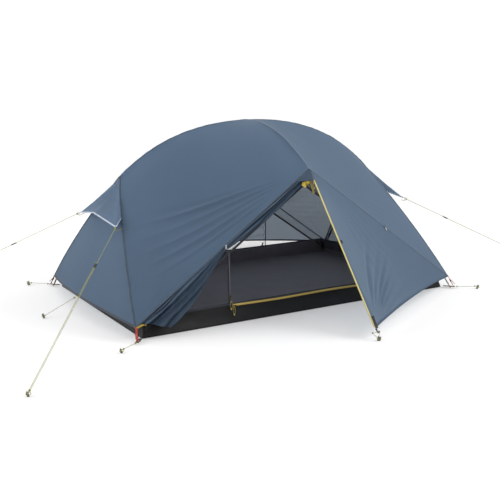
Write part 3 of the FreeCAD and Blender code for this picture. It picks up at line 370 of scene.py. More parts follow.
def on_cloth(tree, points, lift=0.0):
    """Nearest points of a cloth, raised along its normals, and those normals."""
    places, normals = [], []
    for point in points:
        place, normal, _, _ = tree.find_nearest(Vector(point))
        places.append(place + normal * lift)
        normals.append(normal)
    normals = np.array([tuple(n) for n in normals])
    kernel = np.ones(5) / 5
    padded = np.pad(normals, ((2, 2), (0, 0)), mode="edge")
    even = np.stack([np.convolve(padded[:, k], kernel, "valid") for k in range(3)], -1)
    return np.array([tuple(p) for p in places]), unit(even)


def seam(tree, path, width=0.012, height=0.0012, step=0.01, lift=0.0002):
    """Felled seam or binding laid on a cloth."""
    places, normals = on_cloth(tree, resample(path, step), lift)
    return sweep(places, ribbon_profile(width, height), normals)


# ---------------------------------------------------------------- node materials

RUBBED_FROM = 0.56         # pointiness above which an edge is rubbed


class Shader:
    """Node graph of one material."""

    def __init__(self, name):
        self.material = bpy.data.materials.new(name)
        self.material.use_nodes = True
        self.tree = self.material.node_tree
        self.tree.nodes.clear()
        self.uv = self.add("ShaderNodeUVMap", uv_map="cloth").outputs["UV"]
        self.place = self.add("ShaderNodeTexCoord").outputs["Object"]

    def set(self, socket, value):
        if isinstance(value, bpy.types.NodeSocket):
            self.tree.links.new(value, socket)
        elif isinstance(value, tuple) and len(value) == 3 and socket.type == "RGBA":
            socket.default_value = (*value, 1.0)
        else:
            socket.default_value = value

    def add(self, kind, inputs=None, **settings):
        node = self.tree.nodes.new(kind)
        for name, value in settings.items():
            setattr(node, name, value)
        for name, value in (inputs or {}).items():
            self.set(node.inputs[name], value)
        return node

    def math(self, operation, first, second=0.0, third=0.0):
        node = self.add("ShaderNodeMath", {0: first, 1: second, 2: third}, operation=operation)
        return node.outputs[0]

    def blend(self, factor, first, second):
        return self.add("ShaderNodeMix", {0: factor, 6: first, 7: second}, data_type="RGBA").outputs[2]

    def noise(self, scale, detail=3.0, coordinate=None, roughness=0.55):
        node = self.add("ShaderNodeTexNoise", {"Vector": coordinate or self.place, "Scale": scale,
                                               "Detail": detail, "Roughness": roughness})
        return node.outputs["Fac"]

    def threads(self):
        """Metres along and across the cloth."""
        return [self.add("ShaderNodeSeparateXYZ", {0: self.uv}).outputs[name] for name in "XY"]

    def rubbed(self, amount):
        """The amount of wear where an edge stands out, 0 elsewhere."""
        edges = self.add("ShaderNodeNewGeometry").outputs["Pointiness"]
        return self.math("MULTIPLY", self.math("GREATER_THAN", edges, RUBBED_FROM), amount)

    def stripes(self, coordinate, period):
        """Sine stripes from 0 to 1."""
        wave = self.math("SINE", self.math("MULTIPLY", coordinate, 2 * math.pi / period))
        return self.math("MULTIPLY_ADD", wave, 0.5, 0.5)

    def lines(self, coordinate, period, width):
        """Thin lines, 1 on a line and 0 between."""
        return self.math("LESS_THAN", self.math("PINGPONG", coordinate, period / 2), width / 2)

    def bump(self, height, distance, strength=1.0, normal=None):
        inputs = {"Height": height, "Distance": distance, "Strength": strength}
        if normal is not None:
            inputs["Normal"] = normal
        return self.add("ShaderNodeBump", inputs).outputs["Normal"]

    def surface(self, **inputs):
        named = {name.replace("_", " "): value for name, value in inputs.items()}
        return self.add("ShaderNodeBsdfPrincipled", named).outputs[0]

    def finish(self, shader):
        self.tree.links.new(shader, self.add("ShaderNodeOutputMaterial").inputs["Surface"])
        return self.material


def linear(red, green, blue):
    """Scene colour of an 8-bit display colour."""
    def channel(value):
        value /= 255
        return value / 12.92 if value <= 0.04045 else ((value + 0.055) / 1.055) ** 2.4
    return tuple(channel(value) for value in (red, green, blue))


def shade(colour, factor):
    return tuple(min(1.0, c * factor) for c in colour)


LIGHT_THROUGH = linear(226, 240, 254)    # daylight after it has passed the fly
BRIGHT_METAL = (0.75, 0.75, 0.76)
THREAD_GRID = 0.005                      # spacing of the ripstop's thick threads
NET_CELLS = 620.0                        # cells of the net in a metre
THREAD_COVER = 0.12                      # how much denser the net is on its threads


def ripstop(name, colour, glow=0.38, clear=0.0, roughness=0.5, sheen=0.1):
    """Thin coated ripstop: fine plain weave, a square grid of thicker threads, light coming through."""
    s = Shader(name)
    x, y = s.threads()
    grid = s.math("MAXIMUM", s.lines(x, THREAD_GRID, 0.0005), s.lines(y, THREAD_GRID, 0.0005))
    weave = s.math("MULTIPLY", s.stripes(x, 0.0008), s.stripes(y, 0.0008))
    clouds = s.noise(2.2, 4.0)
    streaks = s.noise(9.0, 5.0)
    tone = s.blend(clouds, shade(colour, 0.88), shade(colour, 1.12))
    tone = s.blend(s.math("MULTIPLY", streaks, 0.25), tone, shade(colour, 1.3))
    tone = s.blend(s.math("MULTIPLY", grid, 0.18), tone, shade(colour, 1.7))
    relief = s.bump(s.math("ADD", weave, grid), 0.0001, 0.35)
    relief = s.bump(s.noise(14.0, 4.0), 0.0035, 0.30, relief)
    rough = s.math("MULTIPLY_ADD", streaks, 0.18, roughness)
    cloth = s.surface(Base_Color=tone, Roughness=rough, Normal=relief, Sheen_Weight=sheen,
                      Sheen_Roughness=0.4, Specular_IOR_Level=0.3)
    through = s.add("ShaderNodeBsdfTranslucent", {"Color": LIGHT_THROUGH, "Normal": relief}).outputs[0]
    both = s.add("ShaderNodeMixShader", {0: glow, 1: cloth, 2: through}).outputs[0]
    gaps = s.add("ShaderNodeBsdfTransparent").outputs[0]
    return s.finish(s.add("ShaderNodeMixShader", {0: clear, 1: both, 2: gaps}).outputs[0])


def netting(name, colour, cover=0.17):
    """Fine insect net: threads round open cells."""
    s = Shader(name)
    cells = s.add("ShaderNodeTexVoronoi", {"Vector": s.uv, "Scale": NET_CELLS, "Randomness": 0.25},
                  feature="DISTANCE_TO_EDGE").outputs["Distance"]
    thread = s.math("LESS_THAN", cells, 0.16)
    slant = s.add("ShaderNodeLayerWeight", {"Blend": 0.5}).outputs["Facing"]
    slant = s.math("MULTIPLY", s.math("POWER", slant, 1.3), 0.55)
    tone = s.blend(s.noise(5.0), shade(colour, 0.8), shade(colour, 1.25))
    threads = s.surface(Base_Color=tone, Roughness=0.7, Sheen_Weight=0.2, Normal=s.bump(cells, 0.0003))
    clear = s.add("ShaderNodeBsdfTransparent").outputs[0]
    opacity = s.math("MULTIPLY_ADD", thread, THREAD_COVER, cover - THREAD_COVER)
    opacity = s.math("ADD", opacity, slant)
    return s.finish(s.add("ShaderNodeMixShader", {0: opacity, 1: clear, 2: threads}).outputs[0])


def coated_floor(name, colour, gloss=0.5):
    """Heavy coated groundsheet with a dense weave, scuffs and a little dust."""
    s = Shader(name)
    x, y = s.threads()
    weave = s.math("ADD", s.stripes(x, 0.0014), s.stripes(y, 0.0014))
    dust = s.math("MULTIPLY", s.noise(6.0, 6.0), 0.35)
    tone = s.blend(dust, shade(colour, 0.85), shade(colour, 1.6))
    relief = s.bump(weave, 0.0002, 0.4)
    relief = s.bump(s.noise(11.0, 4.0), 0.004, 0.4, relief)
    rough = s.math("MULTIPLY_ADD", dust, 0.5, gloss)
    return s.finish(s.surface(Base_Color=tone, Roughness=rough, Normal=relief, Sheen_Weight=0.1))


def stitched_tape(name, colour, thread, width=0.012, rows=0.6):
    """Folded woven tape with two rows of stitches near its edges."""
    s = Shader(name)
    x, y = s.threads()
    rib = s.stripes(x, 0.0011)
    from_edge = s.math("PINGPONG", y, width)
    on_row = s.lines(s.math("SUBTRACT", from_edge, width * (1 - rows) / 2), width * rows * 2, 0.0009)
    dash = s.math("LESS_THAN", s.math("FRACT", s.math("DIVIDE", x, 0.0034)), 0.66)
    stitch = s.math("MULTIPLY", on_row, dash)
    tone = s.blend(s.noise(30.0, 4.0), shade(colour, 0.8), shade(colour, 1.2))
    tone = s.blend(stitch, tone, thread)
    relief = s.bump(s.math("MULTIPLY_ADD", stitch, 2.0, rib), 0.0002, 0.5)
    return s.finish(s.surface(Base_Color=tone, Roughness=0.62, Normal=relief, Sheen_Weight=0.2))


def webbing(name, colour):
    """Woven strap with a herringbone of thick yarns."""
    s = Shader(name)
    x, y = s.threads()
    zig = s.math("PINGPONG", y, 0.003)
    twill = s.stripes(s.math("ADD", x, zig), 0.0018)
    tone = s.blend(twill, shade(colour, 0.55), shade(colour, 1.1))
    tone = s.blend(s.math("MULTIPLY", s.noise(60.0, 4.0), 0.3), tone, shade(colour, 1.5))
    relief = s.bump(twill, 0.0004, 0.7)
    return s.finish(s.surface(Base_Color=tone, Roughness=0.7, Normal=relief, Sheen_Weight=0.3))


def laid_cord(name, colour, tracer):
    """Bright cord with a tracer yarn and fibres along the lay."""
    s = Shader(name)
    x, y = s.threads()
    lay = s.math("ADD", x, s.math("MULTIPLY", y, 1.5))
    fibres = s.stripes(lay, 0.0012)
    marks = s.math("MULTIPLY", s.lines(lay, 0.012, 0.0016), 0.7)
    tone = s.blend(fibres, shade(colour, 0.75), shade(colour, 1.1))
    tone = s.blend(marks, tone, tracer)
    relief = s.bump(fibres, 0.0002, 0.6)
    return s.finish(s.surface(Base_Color=tone, Roughness=0.6, Normal=relief, Sheen_Weight=0.3))


def metal(name, colour, roughness=0.3, grain=400.0):
    """Drawn or turned metal: fine grain, rubbed edges, a few scratches."""
    s = Shader(name)
    stretched = s.add("ShaderNodeMapping", {"Vector": s.place, "Scale": (1.0, 1.0, 0.15)}).outputs[0]
    fine = s.noise(grain, 2.0, stretched)
    patches = s.noise(18.0, 5.0)
    tone = s.blend(s.math("MULTIPLY", patches, 0.4), colour, shade(colour, 0.7))
    tone = s.blend(s.rubbed(0.6), tone, BRIGHT_METAL)
    rough = s.math("MULTIPLY_ADD", patches, 0.25, roughness - 0.1)
    relief = s.bump(fine, 0.00005, 0.5)
    return s.finish(s.surface(Base_Color=tone, Metallic=1.0, Roughness=rough, Normal=relief))


def moulded(name, colour, roughness=0.45):
    """Moulded nylon: spark-eroded grain, paler rubbed edges."""
    s = Shader(name)
    grain = s.noise(900.0, 3.0)
    tone = s.blend(s.noise(40.0, 4.0), shade(colour, 0.85), shade(colour, 1.3))
    tone = s.blend(s.rubbed(0.5), tone, shade(colour, 3.0))
    rough = s.math("MULTIPLY_ADD", grain, 0.15, roughness)
    return s.finish(s.surface(Base_Color=tone, Roughness=rough, Normal=s.bump(grain, 0.0001, 0.4)))


FLY_BLUE = linear(88, 111, 136)
M = {
    "fly": ripstop("fly_ripstop", FLY_BLUE),
    "fly_inside": ripstop("fly_ripstop_inside", FLY_BLUE, clear=0.72),
    # The fly's own ripstop at half brightness: painted shade for the rolled porch and the shoulder patch,
    # drawn as if in shadow.
    "fly_painted_shade": ripstop("fly_ripstop_painted_shade", shade(FLY_BLUE, 0.52), glow=0.08),
    "seam": stitched_tape("fly_seam", shade(FLY_BLUE, 0.42), shade(FLY_BLUE, 0.8)),
    "top_seam": stitched_tape("fly_top_seam", shade(FLY_BLUE, 0.95), shade(FLY_BLUE, 1.4)),
    "binding": stitched_tape("hem_binding", linear(38, 48, 62), linear(90, 104, 124)),
    "trim": stitched_tape("reflective_binding", linear(176, 186, 202), linear(110, 120, 138)),
    "net": netting("inner_netting", linear(84, 82, 92)),
    "net_dark": netting("vent_netting", linear(34, 34, 40), cover=0.45),
    "tape": stitched_tape("inner_seam_tape", linear(46, 48, 58), linear(88, 90, 100)),
    "tub_out": coated_floor("tub_outside", linear(15, 15, 18)),
    "tub_in": coated_floor("tub_inside", linear(118, 112, 116), 0.62),
    "zip": stitched_tape("zip_tape", linear(232, 196, 100), linear(246, 232, 160), width=0.011),
    "fly_zip": stitched_tape("porch_zip_tape", linear(206, 190, 116), linear(240, 235, 190), width=0.009),
    "coil": moulded("zip_coil", linear(240, 206, 116)),
    "upright_tape": stitched_tape("upright_zip_tape", linear(92, 90, 102), linear(126, 124, 136)),
    "dark_coil": moulded("dark_zip_coil", linear(126, 122, 134)),
    "fly_coil": moulded("porch_zip_coil", linear(226, 214, 140)),
    "pull": laid_cord("pull_cord", linear(232, 216, 120), linear(150, 140, 70)),
    "cord": laid_cord("guy_cord", linear(178, 176, 62), linear(96, 100, 40)),
    "red": webbing("red_webbing", linear(188, 58, 50)),
    "black_webbing": webbing("black_webbing", linear(34, 34, 38)),
    "yellow_webbing": webbing("yellow_webbing", linear(220, 190, 70)),
    "pole": metal("anodised_pole", linear(44, 50, 62), 0.35),
    "alloy": metal("bare_alloy", linear(190, 192, 196), 0.35),
    "stake": metal("stake_alloy", linear(196, 186, 140), 0.38),
    "tip": metal("pole_tip_alloy", linear(150, 96, 58), 0.38),
    "brass": metal("grommet_brass", linear(176, 130, 70), 0.35),
    "slider": moulded("slider_enamel", linear(58, 50, 34), 0.35),
    "black": moulded("black_nylon", linear(26, 27, 30)),
    "elastic": webbing("elastic", linear(40, 40, 44)),
    "white": moulded("pale_nylon", linear(206, 208, 212)),
}


# ---------------------------------------------------------------- outer tent

def leg_seam(hub, corner, bow):
    """Curve from a hub to a corner, bowed outward like its pole."""
    def curve(v):
        v = np.asarray(v, float)
        return mix(hub, corner, v) + vec(0.8, 0.6, 0) * (4 * bow * v * (1 - v))[..., None]
    return curve


def roof_surface(apex, hub, shoulder, corner, bow):
    """Rear right roof panel between ridge, leg seam, side seam and cross pole."""
    def ridge(u):
        drop = (apex[2] - hub[2]) * (0.7 * u ** 2 + 0.3 * u ** 4)
        return np.stack([hub[0] * u, 0 * u, apex[2] - drop], -1)

    def cross(v):
        return np.stack([0 * v, shoulder[1] * v, apex[2] - (apex[2] - shoulder[2]) * v ** 2], -1)

    def side(u):
        return mix(shoulder, corner, u)

    return coons(ridge, side, cross, leg_seam(hub, corner, bow))


def end_surface(hub, corner, bow, pull):
    """Right end wall from the hub down to the hem."""
    rear = leg_seam(hub, corner, bow)

    def front(v):
        return rear(v) * vec(1, -1, 1)

    def hem(u):
        return mix(front(u * 0 + 1), rear(u * 0 + 1), u) + pull * np.sin(math.pi * u)[..., None]

    def top(u):
        return mix(front(u * 0), rear(u * 0), u)

    return coons(top, hem, front, rear)


FLY_ROOF = roof_surface(APEX, HUB, SHOULDER, CORNER, LEG_BOW)
FLY_END = end_surface(HUB, CORNER, LEG_BOW, HEM_PULL)
RIM = TUB_TOP[2] + 0.003   # where the net starts above the tub
INNER_ROOF = roof_surface(INNER_APEX, INNER_HUB, INNER_SHOULDER, INNER_CORNER, 0)
INNER_END = end_surface(INNER_HUB, INNER_CORNER, 0, vec(0, 0, 0))
PANEL = (1.2, 0.9)         # metres of cloth along and down a roof panel, for its weave
END_PANEL = (1.3, 0.9)
FLY = [M["fly"], M["fly_inside"]]
FLY_SHEET = 0.0011         # sheets are thicker than real cloth, so that they shade as solids
ROLL_SHEET = 0.0009
PATCH_SHEET = 0.0012
TUB_SHEET = 0.0011
NET_SHEET = 0.0005
VENT_NET_SHEET = 0.0006
STEPS = 150                # quads along a fly panel
END_STEPS = 96             # quads across an end wall
VENT_ROWS = (0.16, 0.34)   # the vent opening's share of an end wall, down and across
VENT_COLUMNS = (0.22, 0.78)


def edge_slack(u, v):
    """How free the cloth is: 0 on a panel's edges, 1 in its middle."""
    return np.sqrt(np.clip(16 * u * (1 - u) * v * (1 - v), 0, 1))


def vent_cells():
    """Cells of an end wall that the vent opening takes up."""
    across = (np.arange(END_STEPS) + 0.5) / END_STEPS
    down = (np.arange(STEPS) + 0.5) / STEPS
    u, v = np.meshgrid(across, down, indexing="ij")
    inside_u = (u > VENT_COLUMNS[0]) & (u < VENT_COLUMNS[1])
    return inside_u & (v > VENT_ROWS[0]) & (v < VENT_ROWS[1])


WRINKLE = 0.0095           # height of the strongest tension wrinkles


def canopy_height(points, slack):
    """How far the taut cloth stands from its pattern."""
    height = slack * (0.0022 * soft_noise(points, 0.9, 1.0) + 0.0006 * soft_noise(points, 0.22, 4.0))
    height -= 0.004 * slack
    for side, end in QUARTERS:
        in_quarter = (points[:, 0] * side > -0.001) & (points[:, 1] * end > -0.001)
        here = in_quarter * slack ** 0.5
        shoulder = SHOULDER * vec(side, end, 1)
        corner = CORNER * vec(side, end, 1)
        down = unit(corner - shoulder)
        outward = unit(vec(0.25 * side, 0.75 * end, 0.6))
        span = (-0.54, -0.03) if side * end > 0 else (0.03, 0.54)
        by_rolled_porch = (side, end) == (-1, -1)
        strength = WRINKLE if by_rolled_porch else 0.2 * WRINKLE
        height += here * strength * fan(points, shoulder, down, outward, span, 84, 0.50, 1.20)
        height += here * 0.25 * WRINKLE * fan(points, corner, -down, outward, (-1.2, 1.2), 30, 0.16, 0.45)
    return height


def fly_canopy():
    """Roof and end walls in one sheet, the vents left open."""
    cloth = Cloth()
    u, v = lattice(STEPS, STEPS)
    for side, end in QUARTERS:
        points = FLY_ROOF(u, v) * vec(side, end, 1)
        cloth.grid(points, PANEL, flip=side * end < 0, slack=edge_slack(u, v))
    opening = vent_cells()
    u, v = lattice(END_STEPS, STEPS)
    for side in (1, -1):
        points = FLY_END(u, v) * vec(side, 1, 1)
        cloth.grid(points, END_PANEL, flip=side > 0, keep=~opening, slack=edge_slack(u, v) * 0.6)
    cloth.weld()
    cloth.push(canopy_height(cloth.points, cloth.slack))
    cloth.piece("fly_canopy", FLY, "tent", "fly_fabric", ("fly_roof", "fly_ends"), FLY_SHEET)
    return cloth.tree()


def vent_nets():
    """Nets behind the vent openings, cut from the end walls' own surface."""
    cloth = Cloth()
    u, v = lattice(END_STEPS, STEPS)
    for side in (1, -1):
        points = (FLY_END(u, v) - vec(0.0015, 0, 0)) * vec(side, 1, 1)
        cloth.grid(points, END_PANEL, flip=side > 0, keep=vent_cells())
    used = np.unique(cloth.quads)
    lookup = np.full(len(cloth.points), -1)
    lookup[used] = np.arange(len(used))
    cloth.points, cloth.slack, cloth.quads = cloth.points[used], cloth.slack[used], lookup[cloth.quads]
    cloth.piece("vent_nets", M["net_dark"], "tent", "inner_net", ("vent_meshes",), VENT_NET_SHEET)


def fly_seams(tree):
    """Felled seams over the poles and along the side seams; bound hems."""
    share = np.linspace(0, 1, 60)
    top, seams, hems = Cloth(), Cloth(), Cloth()
    ridge = both_ways(FLY_ROOF(share, share * 0), TO_RIGHT)
    cross = both_ways(FLY_ROOF(share * 0, share), TO_FRONT)
    for path in (ridge, cross):
        top.add(seam(tree, path, width=0.008, height=0.0008))
    leg = FLY_ROOF(share * 0 + 1, share)
    side_seam = FLY_ROOF(share, share * 0 + 1)
    hem = FLY_END(share, share * 0 + 0.994)
    for side, end in QUARTERS:
        seams.add(seam(tree, leg * vec(side, end, 1), width=0.009))
        seams.add(seam(tree, side_seam * vec(side, end, 1), width=0.010, height=0.0016))
    for side in (1, -1):
        hems.add(seam(tree, hem * vec(side, 1, 1), width=0.013, height=0.0018))
    top.piece("fly_top_seams", M["top_seam"], "tent", "fly_fabric")
    seams.piece("fly_seams", M["seam"], "tent", "fly_fabric")
    hems.piece("fly_end_hems", M["binding"], "tent", "webbing")


def porch_surface(zip_gap):
    """Rear right half of a porch; its seam edge lies on the hinge line."""
    def zip_edge(v):
        return mix(SHOULDER, PORCH_TIP, v) + vec(zip_gap, 0, 0)

    def seam_edge(v):
        return mix(SHOULDER, CORNER, v) + vec(0, 0.0022, -0.0012)

    def top(u):
        return mix(zip_edge(u * 0), seam_edge(u * 0), u)

    def hem(u):
        lift = vec(0, -0.5, 1) * (4 * PORCH_LIFT * u * (1 - u))[..., None]
        return mix(zip_edge(u * 0 + 1), seam_edge(u * 0 + 1), u) + lift

    return coons(top, hem, zip_edge, seam_edge)


def porch_height(points, slack):
    """Wrinkles fan out from the pegged tip, and shallow ones hang from the shoulder."""
    tip, shoulder = PORCH_TIP, SHOULDER
    outward = unit(vec(0.3, 0.8, 0.5))
    height = slack * 0.0035 * soft_noise(points, 0.7, 2.0) + slack * 0.0007 * soft_noise(points, 0.16, 7.0)
    free = slack ** 0.6
    upward = unit(mix(shoulder, CORNER, 0.6) - tip)
    from_tip = fan(points, tip, upward, outward, (-0.55, 0.40), 46, 0.26, 0.75)
    height += free * 1.2 * WRINKLE * from_tip
    downward = unit(mix(PORCH_TIP, CORNER, 0.5) - shoulder)
    from_shoulder = fan(points, shoulder, downward, outward, (-0.4, 0.4), 40, 0.4, 1.0)
    height += free * 0.2 * WRINKLE * from_shoulder
    return height


def porch(name, zip_gap, side, end, body, node):
    """One closed porch half with its hem, zip edge and seam allowance."""
    surface = porch_surface(zip_gap)
    u, v = lattice(STEPS, STEPS)
    cloth = Cloth()
    cloth.grid(surface(u, 0.02 + 0.98 * v), (1.2, 1.0), flip=True, slack=edge_slack(u, v))
    cloth.weld()
    cloth.push(porch_height(cloth.points, cloth.slack))
    tree = cloth.tree()
    share = np.linspace(0.03, 1, 50)
    hem = seam(tree, surface(share, share * 0 + 0.995), width=0.014, height=0.0018)
    edge = seam(tree, surface(share * 0 + 0.012, share), width=0.012, height=0.0016)
    cloth.mirrored(side, end).piece(name, FLY, body, "fly_fabric", (node,), FLY_SHEET)
    bindings = hem.add(edge)
    bindings.mirrored(side, end).piece(name + "_bindings", M["binding"], body, "webbing")


TIE_SHARE = 0.515                      # where down the side seam the roll is tied
ROLL_START, ROLL_END = 0.012, 0.967    # how far along that seam the rolled cloth runs
HEM_END = vec(-0.872, -0.668, 0.052)   # where the end of its hem hangs


ROLL_OUT = vec(0, -1, 0)               # out of the front doorway
ROLL_TOP = SHOULDER * TO_FRONT         # the front left side seam, and directions along and below it
ROLL_FOOT = CORNER * vec(-1, -1, 1)
ROLL_DOWN = unit(ROLL_FOOT - ROLL_TOP)
ROLL_BELOW = unit(np.cross(ROLL_OUT, ROLL_DOWN))
ROLL_FACING = 0.62                     # share of the loop round the roll that faces out


def roll_rim(t, lower, on_seam):
    """Lower edge of the rolled cloth: a swag down to the tie, then the hanging part."""
    swag = 0.018 + 0.021 * np.sin(math.pi * np.clip(t / TIE_SHARE, 0, 1)) ** 0.8
    tied = mix(ROLL_TOP, ROLL_FOOT, TIE_SHARE) + ROLL_BELOW * 0.018 + ROLL_OUT * 0.004
    sag = 0.020 * np.sin(math.pi * lower ** 1.4)
    hanging = mix(tied, HEM_END, lower) + ROLL_BELOW * sag[..., None]
    return np.where((t < TIE_SHARE)[..., None], on_seam + ROLL_BELOW * swag[..., None], hanging)


def roll_depth(t, lower, a, s):
    """How far the gathered cloth stands out of the door's plane, in front and behind.

    t runs down the seam, s round the roll, and a from the seam to the lower edge and back."""
    depth = 0.012 + 0.010 * np.sin(math.pi * np.clip(t / TIE_SHARE, 0, 1)) + 0.020 * smooth(0, 1, lower)
    depth = depth * (1 - 0.45 * np.exp(-((t - TIE_SHARE) / 0.018) ** 2))
    phase = 3.1 * a ** 0.8 + 0.42 * np.sin(5.2 * t + 0.8 + 2.6 * a) + 0.16 * np.sin(19 * t + 5 * a)
    ridges = np.abs(np.sin(math.pi * phase)) ** 0.7 * (0.65 + 0.35 * np.sin(7 * a + 9 * t))
    lip = np.exp(-((a - 0.97) / 0.05) ** 2)
    slit = np.exp(-((a - 0.27 - 0.05 * np.sin(7 * t)) / 0.055) ** 2)
    facing_out = 0.15 + 1.05 * ridges + 0.45 * lip - 0.75 * slit
    behind = -0.35 - 0.25 * np.sin(math.pi * a) + 0.15 * np.sin(9 * a + 8 * t)
    relief = depth * np.where(s < ROLL_FACING, facing_out, behind)
    join = sum(np.exp(-((s - place) / 0.03) ** 2) for place in (ROLL_FACING, 0, 1))
    relief = relief * (1 - 0.6 * np.clip(join, 0, 1))
    return relief + 0.0012 * np.sin(60 * t + 9 * a) * lower + 0.0008 * np.sin(97 * t - 19 * a)


def rolled_porch():
    """Front left porch half: gathered along its seam, tied, its lower part hanging in folds."""
    t, s = lattice(190, 150)
    t = ROLL_START + t * (ROLL_END - ROLL_START)
    on_seam = mix(ROLL_TOP, ROLL_FOOT, t) + ROLL_OUT * 0.002 + ROLL_BELOW * 0.002
    lower = np.clip((t - TIE_SHARE) / (ROLL_END - TIE_SHARE), 0, 1)
    rim = roll_rim(t, lower, on_seam)
    a = np.where(s < ROLL_FACING, s / ROLL_FACING, (1 - s) / (1 - ROLL_FACING))
    relief = roll_depth(t, lower, a, s)
    cloth = Cloth()
    cloth.grid(on_seam + (rim - on_seam) * a[..., None] + ROLL_OUT * relief[..., None], (1.2, 0.8))
    replaced = ("fly_front_door_left",)
    # Its ripstop is the fly's own, darkened: painted shade on the gathered, downward-facing roll.
    cloth.piece("front_porch_left_rolled", M["fly_painted_shade"], "tent", "fly_fabric", replaced, ROLL_SHEET)


def shoulder_patch():
    """Doubled cloth at the shoulder, over the top of the roll."""
    u, v = lattice(24, 24)
    left = mix(ROLL_TOP, ROLL_FOOT, 0.085)
    right = mix(ROLL_TOP, PORCH_TIP * TO_FRONT, 0.075) + vec(-0.004, 0, 0)
    edge = mix(left, right, u)
    bulge = 0.008 + 0.006 * np.sin(math.pi * u) * v
    patch = Cloth()
    patch.grid(mix(ROLL_TOP + 0 * edge, edge, v) + ROLL_OUT * bulge[..., None], (0.1, 0.1), flip=True)
    patch.weld()
    # Darkened copy of the fly's ripstop: painted shade at the shoulder above the roll.
    patch.piece("front_shoulder_patch", M["fly_painted_shade"], "tent", "fly_fabric", (), PATCH_SHEET)


HOOD_TOP = 0.075           # how far down the leg seam a hood starts
HOOD_SHARE = 0.30          # how far down the leg seam a hood is sewn
HOOD_CORNER = 0.84         # how far along a hood's free edge its corner is


def hood_surface(u, v):
    """Rear half of the right hood: crease, leg seam and free edge with its corner at the tip."""
    leg = leg_seam(HUB, CORNER, LEG_BOW)
    lifted = vec(0.003, 0, 0.003)
    crest = FLY_END(np.array(0.5), np.array(HOOD_TOP)) + lifted

    def crease(t):
        return mix(crest, VENT_PEAK, t) - vec(0.012, 0, 0.014) * np.sin(math.pi * t)[..., None]

    def attached(t):
        return leg(HOOD_TOP + (HOOD_SHARE - HOOD_TOP) * t) + lifted

    def free(t):
        along = mix(VENT_PEAK, VENT_TIP, np.clip(t / HOOD_CORNER, 0, 1))
        past_corner = np.clip((t - HOOD_CORNER) / (1 - HOOD_CORNER), 0, 1)
        back = mix(VENT_TIP, leg(np.array(HOOD_SHARE)) + lifted, past_corner)
        return np.where((t < HOOD_CORNER)[..., None], along, back)

    def top(t):
        return mix(crest, leg(np.array(HOOD_TOP)) + lifted, t)

    return coons(top, free, crease, attached)(u, v)


def vent_hoods():
    """Hoods creased down the middle, with a stiff pale binding round their free edge."""
    cloth, trims = Cloth(), Cloth()
    u, v = lattice(50, 50)
    points = hood_surface(u, v)
    wave = 0.0016 * soft_noise(points, 0.14, 3.0) * np.sin(math.pi * v) * np.sin(math.pi * u) ** 0.5
    points = points + vec(0.6, 0.2, 0.8) * wave[..., None]
    share = np.concatenate([np.linspace(0, HOOD_CORNER, 30), np.linspace(HOOD_CORNER + 0.03, 1.0, 8)])
    edge = both_ways(hood_surface(share, share * 0 + 1), TO_FRONT)
    for side, end in QUARTERS:
        cloth.grid(points * vec(side, end, 1), (0.3, 0.3), flip=side * end > 0)
    cloth.weld()
    outward = unit(edge * vec(0.25, 1.1, 0) + vec(0.5, 0, 0.9))
    lifted = edge + vec(0.001, 0, 0.001)
    for side in (1, -1):
        turn = vec(side, 1, 1)
        trims.add(sweep(lifted * turn, ribbon_profile(0.009, 0.003), outward * turn))
    cloth.piece("vent_hoods_cloth", FLY, "tent", "fly_fabric", ("vent_hoods",), FLY_SHEET)
    trims.piece("vent_hood_bindings", M["trim"], "tent", "trim", ("vent_trims",))


# ---------------------------------------------------------------- inner tent

SHEET_HEIGHT = 0.0022      # middle of the floor sheet above the ground


def tub_wall(start, stop, columns, phase):
    """One raised wall of the tub from corner to corner, with ripples that die out at its edges."""
    along, rise = lattice(columns, 14)
    foot = mix(TUB_BASE * start, TUB_BASE * stop, along) + vec(0, 0, SHEET_HEIGHT)
    head = mix(TUB_TOP * start, TUB_TOP * stop, along)
    wall = mix(foot, head, rise)
    outward = vec(*(start + stop)[:2] / 2, 0)
    ripple = 0.0026 * soft_noise(wall, 0.26, 5.0) + 0.0010 * soft_noise(wall, 0.08, 6.0)
    gather = 0.004 * np.exp(-np.minimum(along, 1 - along) * 26) * np.sin(along * 260)
    hold = np.sin(math.pi * rise) * np.sin(math.pi * along) ** 0.2
    wall = wall - outward * (hold * (0.004 + ripple + gather))[..., None]
    wall[..., 2] += rise * 0.0016 * np.sin(along * 31 + phase)
    return wall


def tub():
    """Bathtub floor: base and raised walls in one coated sheet, creased at the corners."""
    cloth = Cloth()
    u, v = lattice(120, 80)
    base = np.stack([(2 * u - 1) * TUB_BASE[0], (2 * v - 1) * TUB_BASE[1], 0 * u + SHEET_HEIGHT], -1)
    slack = edge_slack(u, v)
    base[..., 2] += slack * (0.0016 + 0.0016 * soft_noise(base, 0.30, 2.0))
    cloth.grid(base, (2.0, 1.2), flip=True)
    turns = [vec(-1, -1, 1), vec(1, -1, 1), vec(1, 1, 1), vec(-1, 1, 1)]
    for k, start in enumerate(turns):
        columns, length = (120, 2.0) if k % 2 == 0 else (80, 1.2)
        cloth.grid(tub_wall(start, turns[(k + 1) % 4], columns, k), (length, 0.1))
    cloth.weld()
    both_faces = [M["tub_out"], M["tub_in"]]
    cloth.piece("tub_floor_sheet", both_faces, "tent", "groundsheet", ("tub_floor",), TUB_SHEET)


def wall_y(z):
    """Where the sloping rear wall of the inner stands at a height."""
    share = (z - RIM) / (INNER_SHOULDER[2] - RIM)
    return TUB_TOP[1] + (INNER_SHOULDER[1] - TUB_TOP[1]) * share


def seam_height(x):
    """Height of the side seam over the rear wall, x along the tent."""
    return INNER_SHOULDER[2] + (INNER_CORNER[2] - INNER_SHOULDER[2]) * np.abs(x) / INNER_CORNER[0]


def seam_reach(z):
    """How far from the middle the side seam comes down to a height."""
    return INNER_CORNER[0] * (INNER_SHOULDER[2] - z) / (INNER_SHOULDER[2] - INNER_CORNER[2])


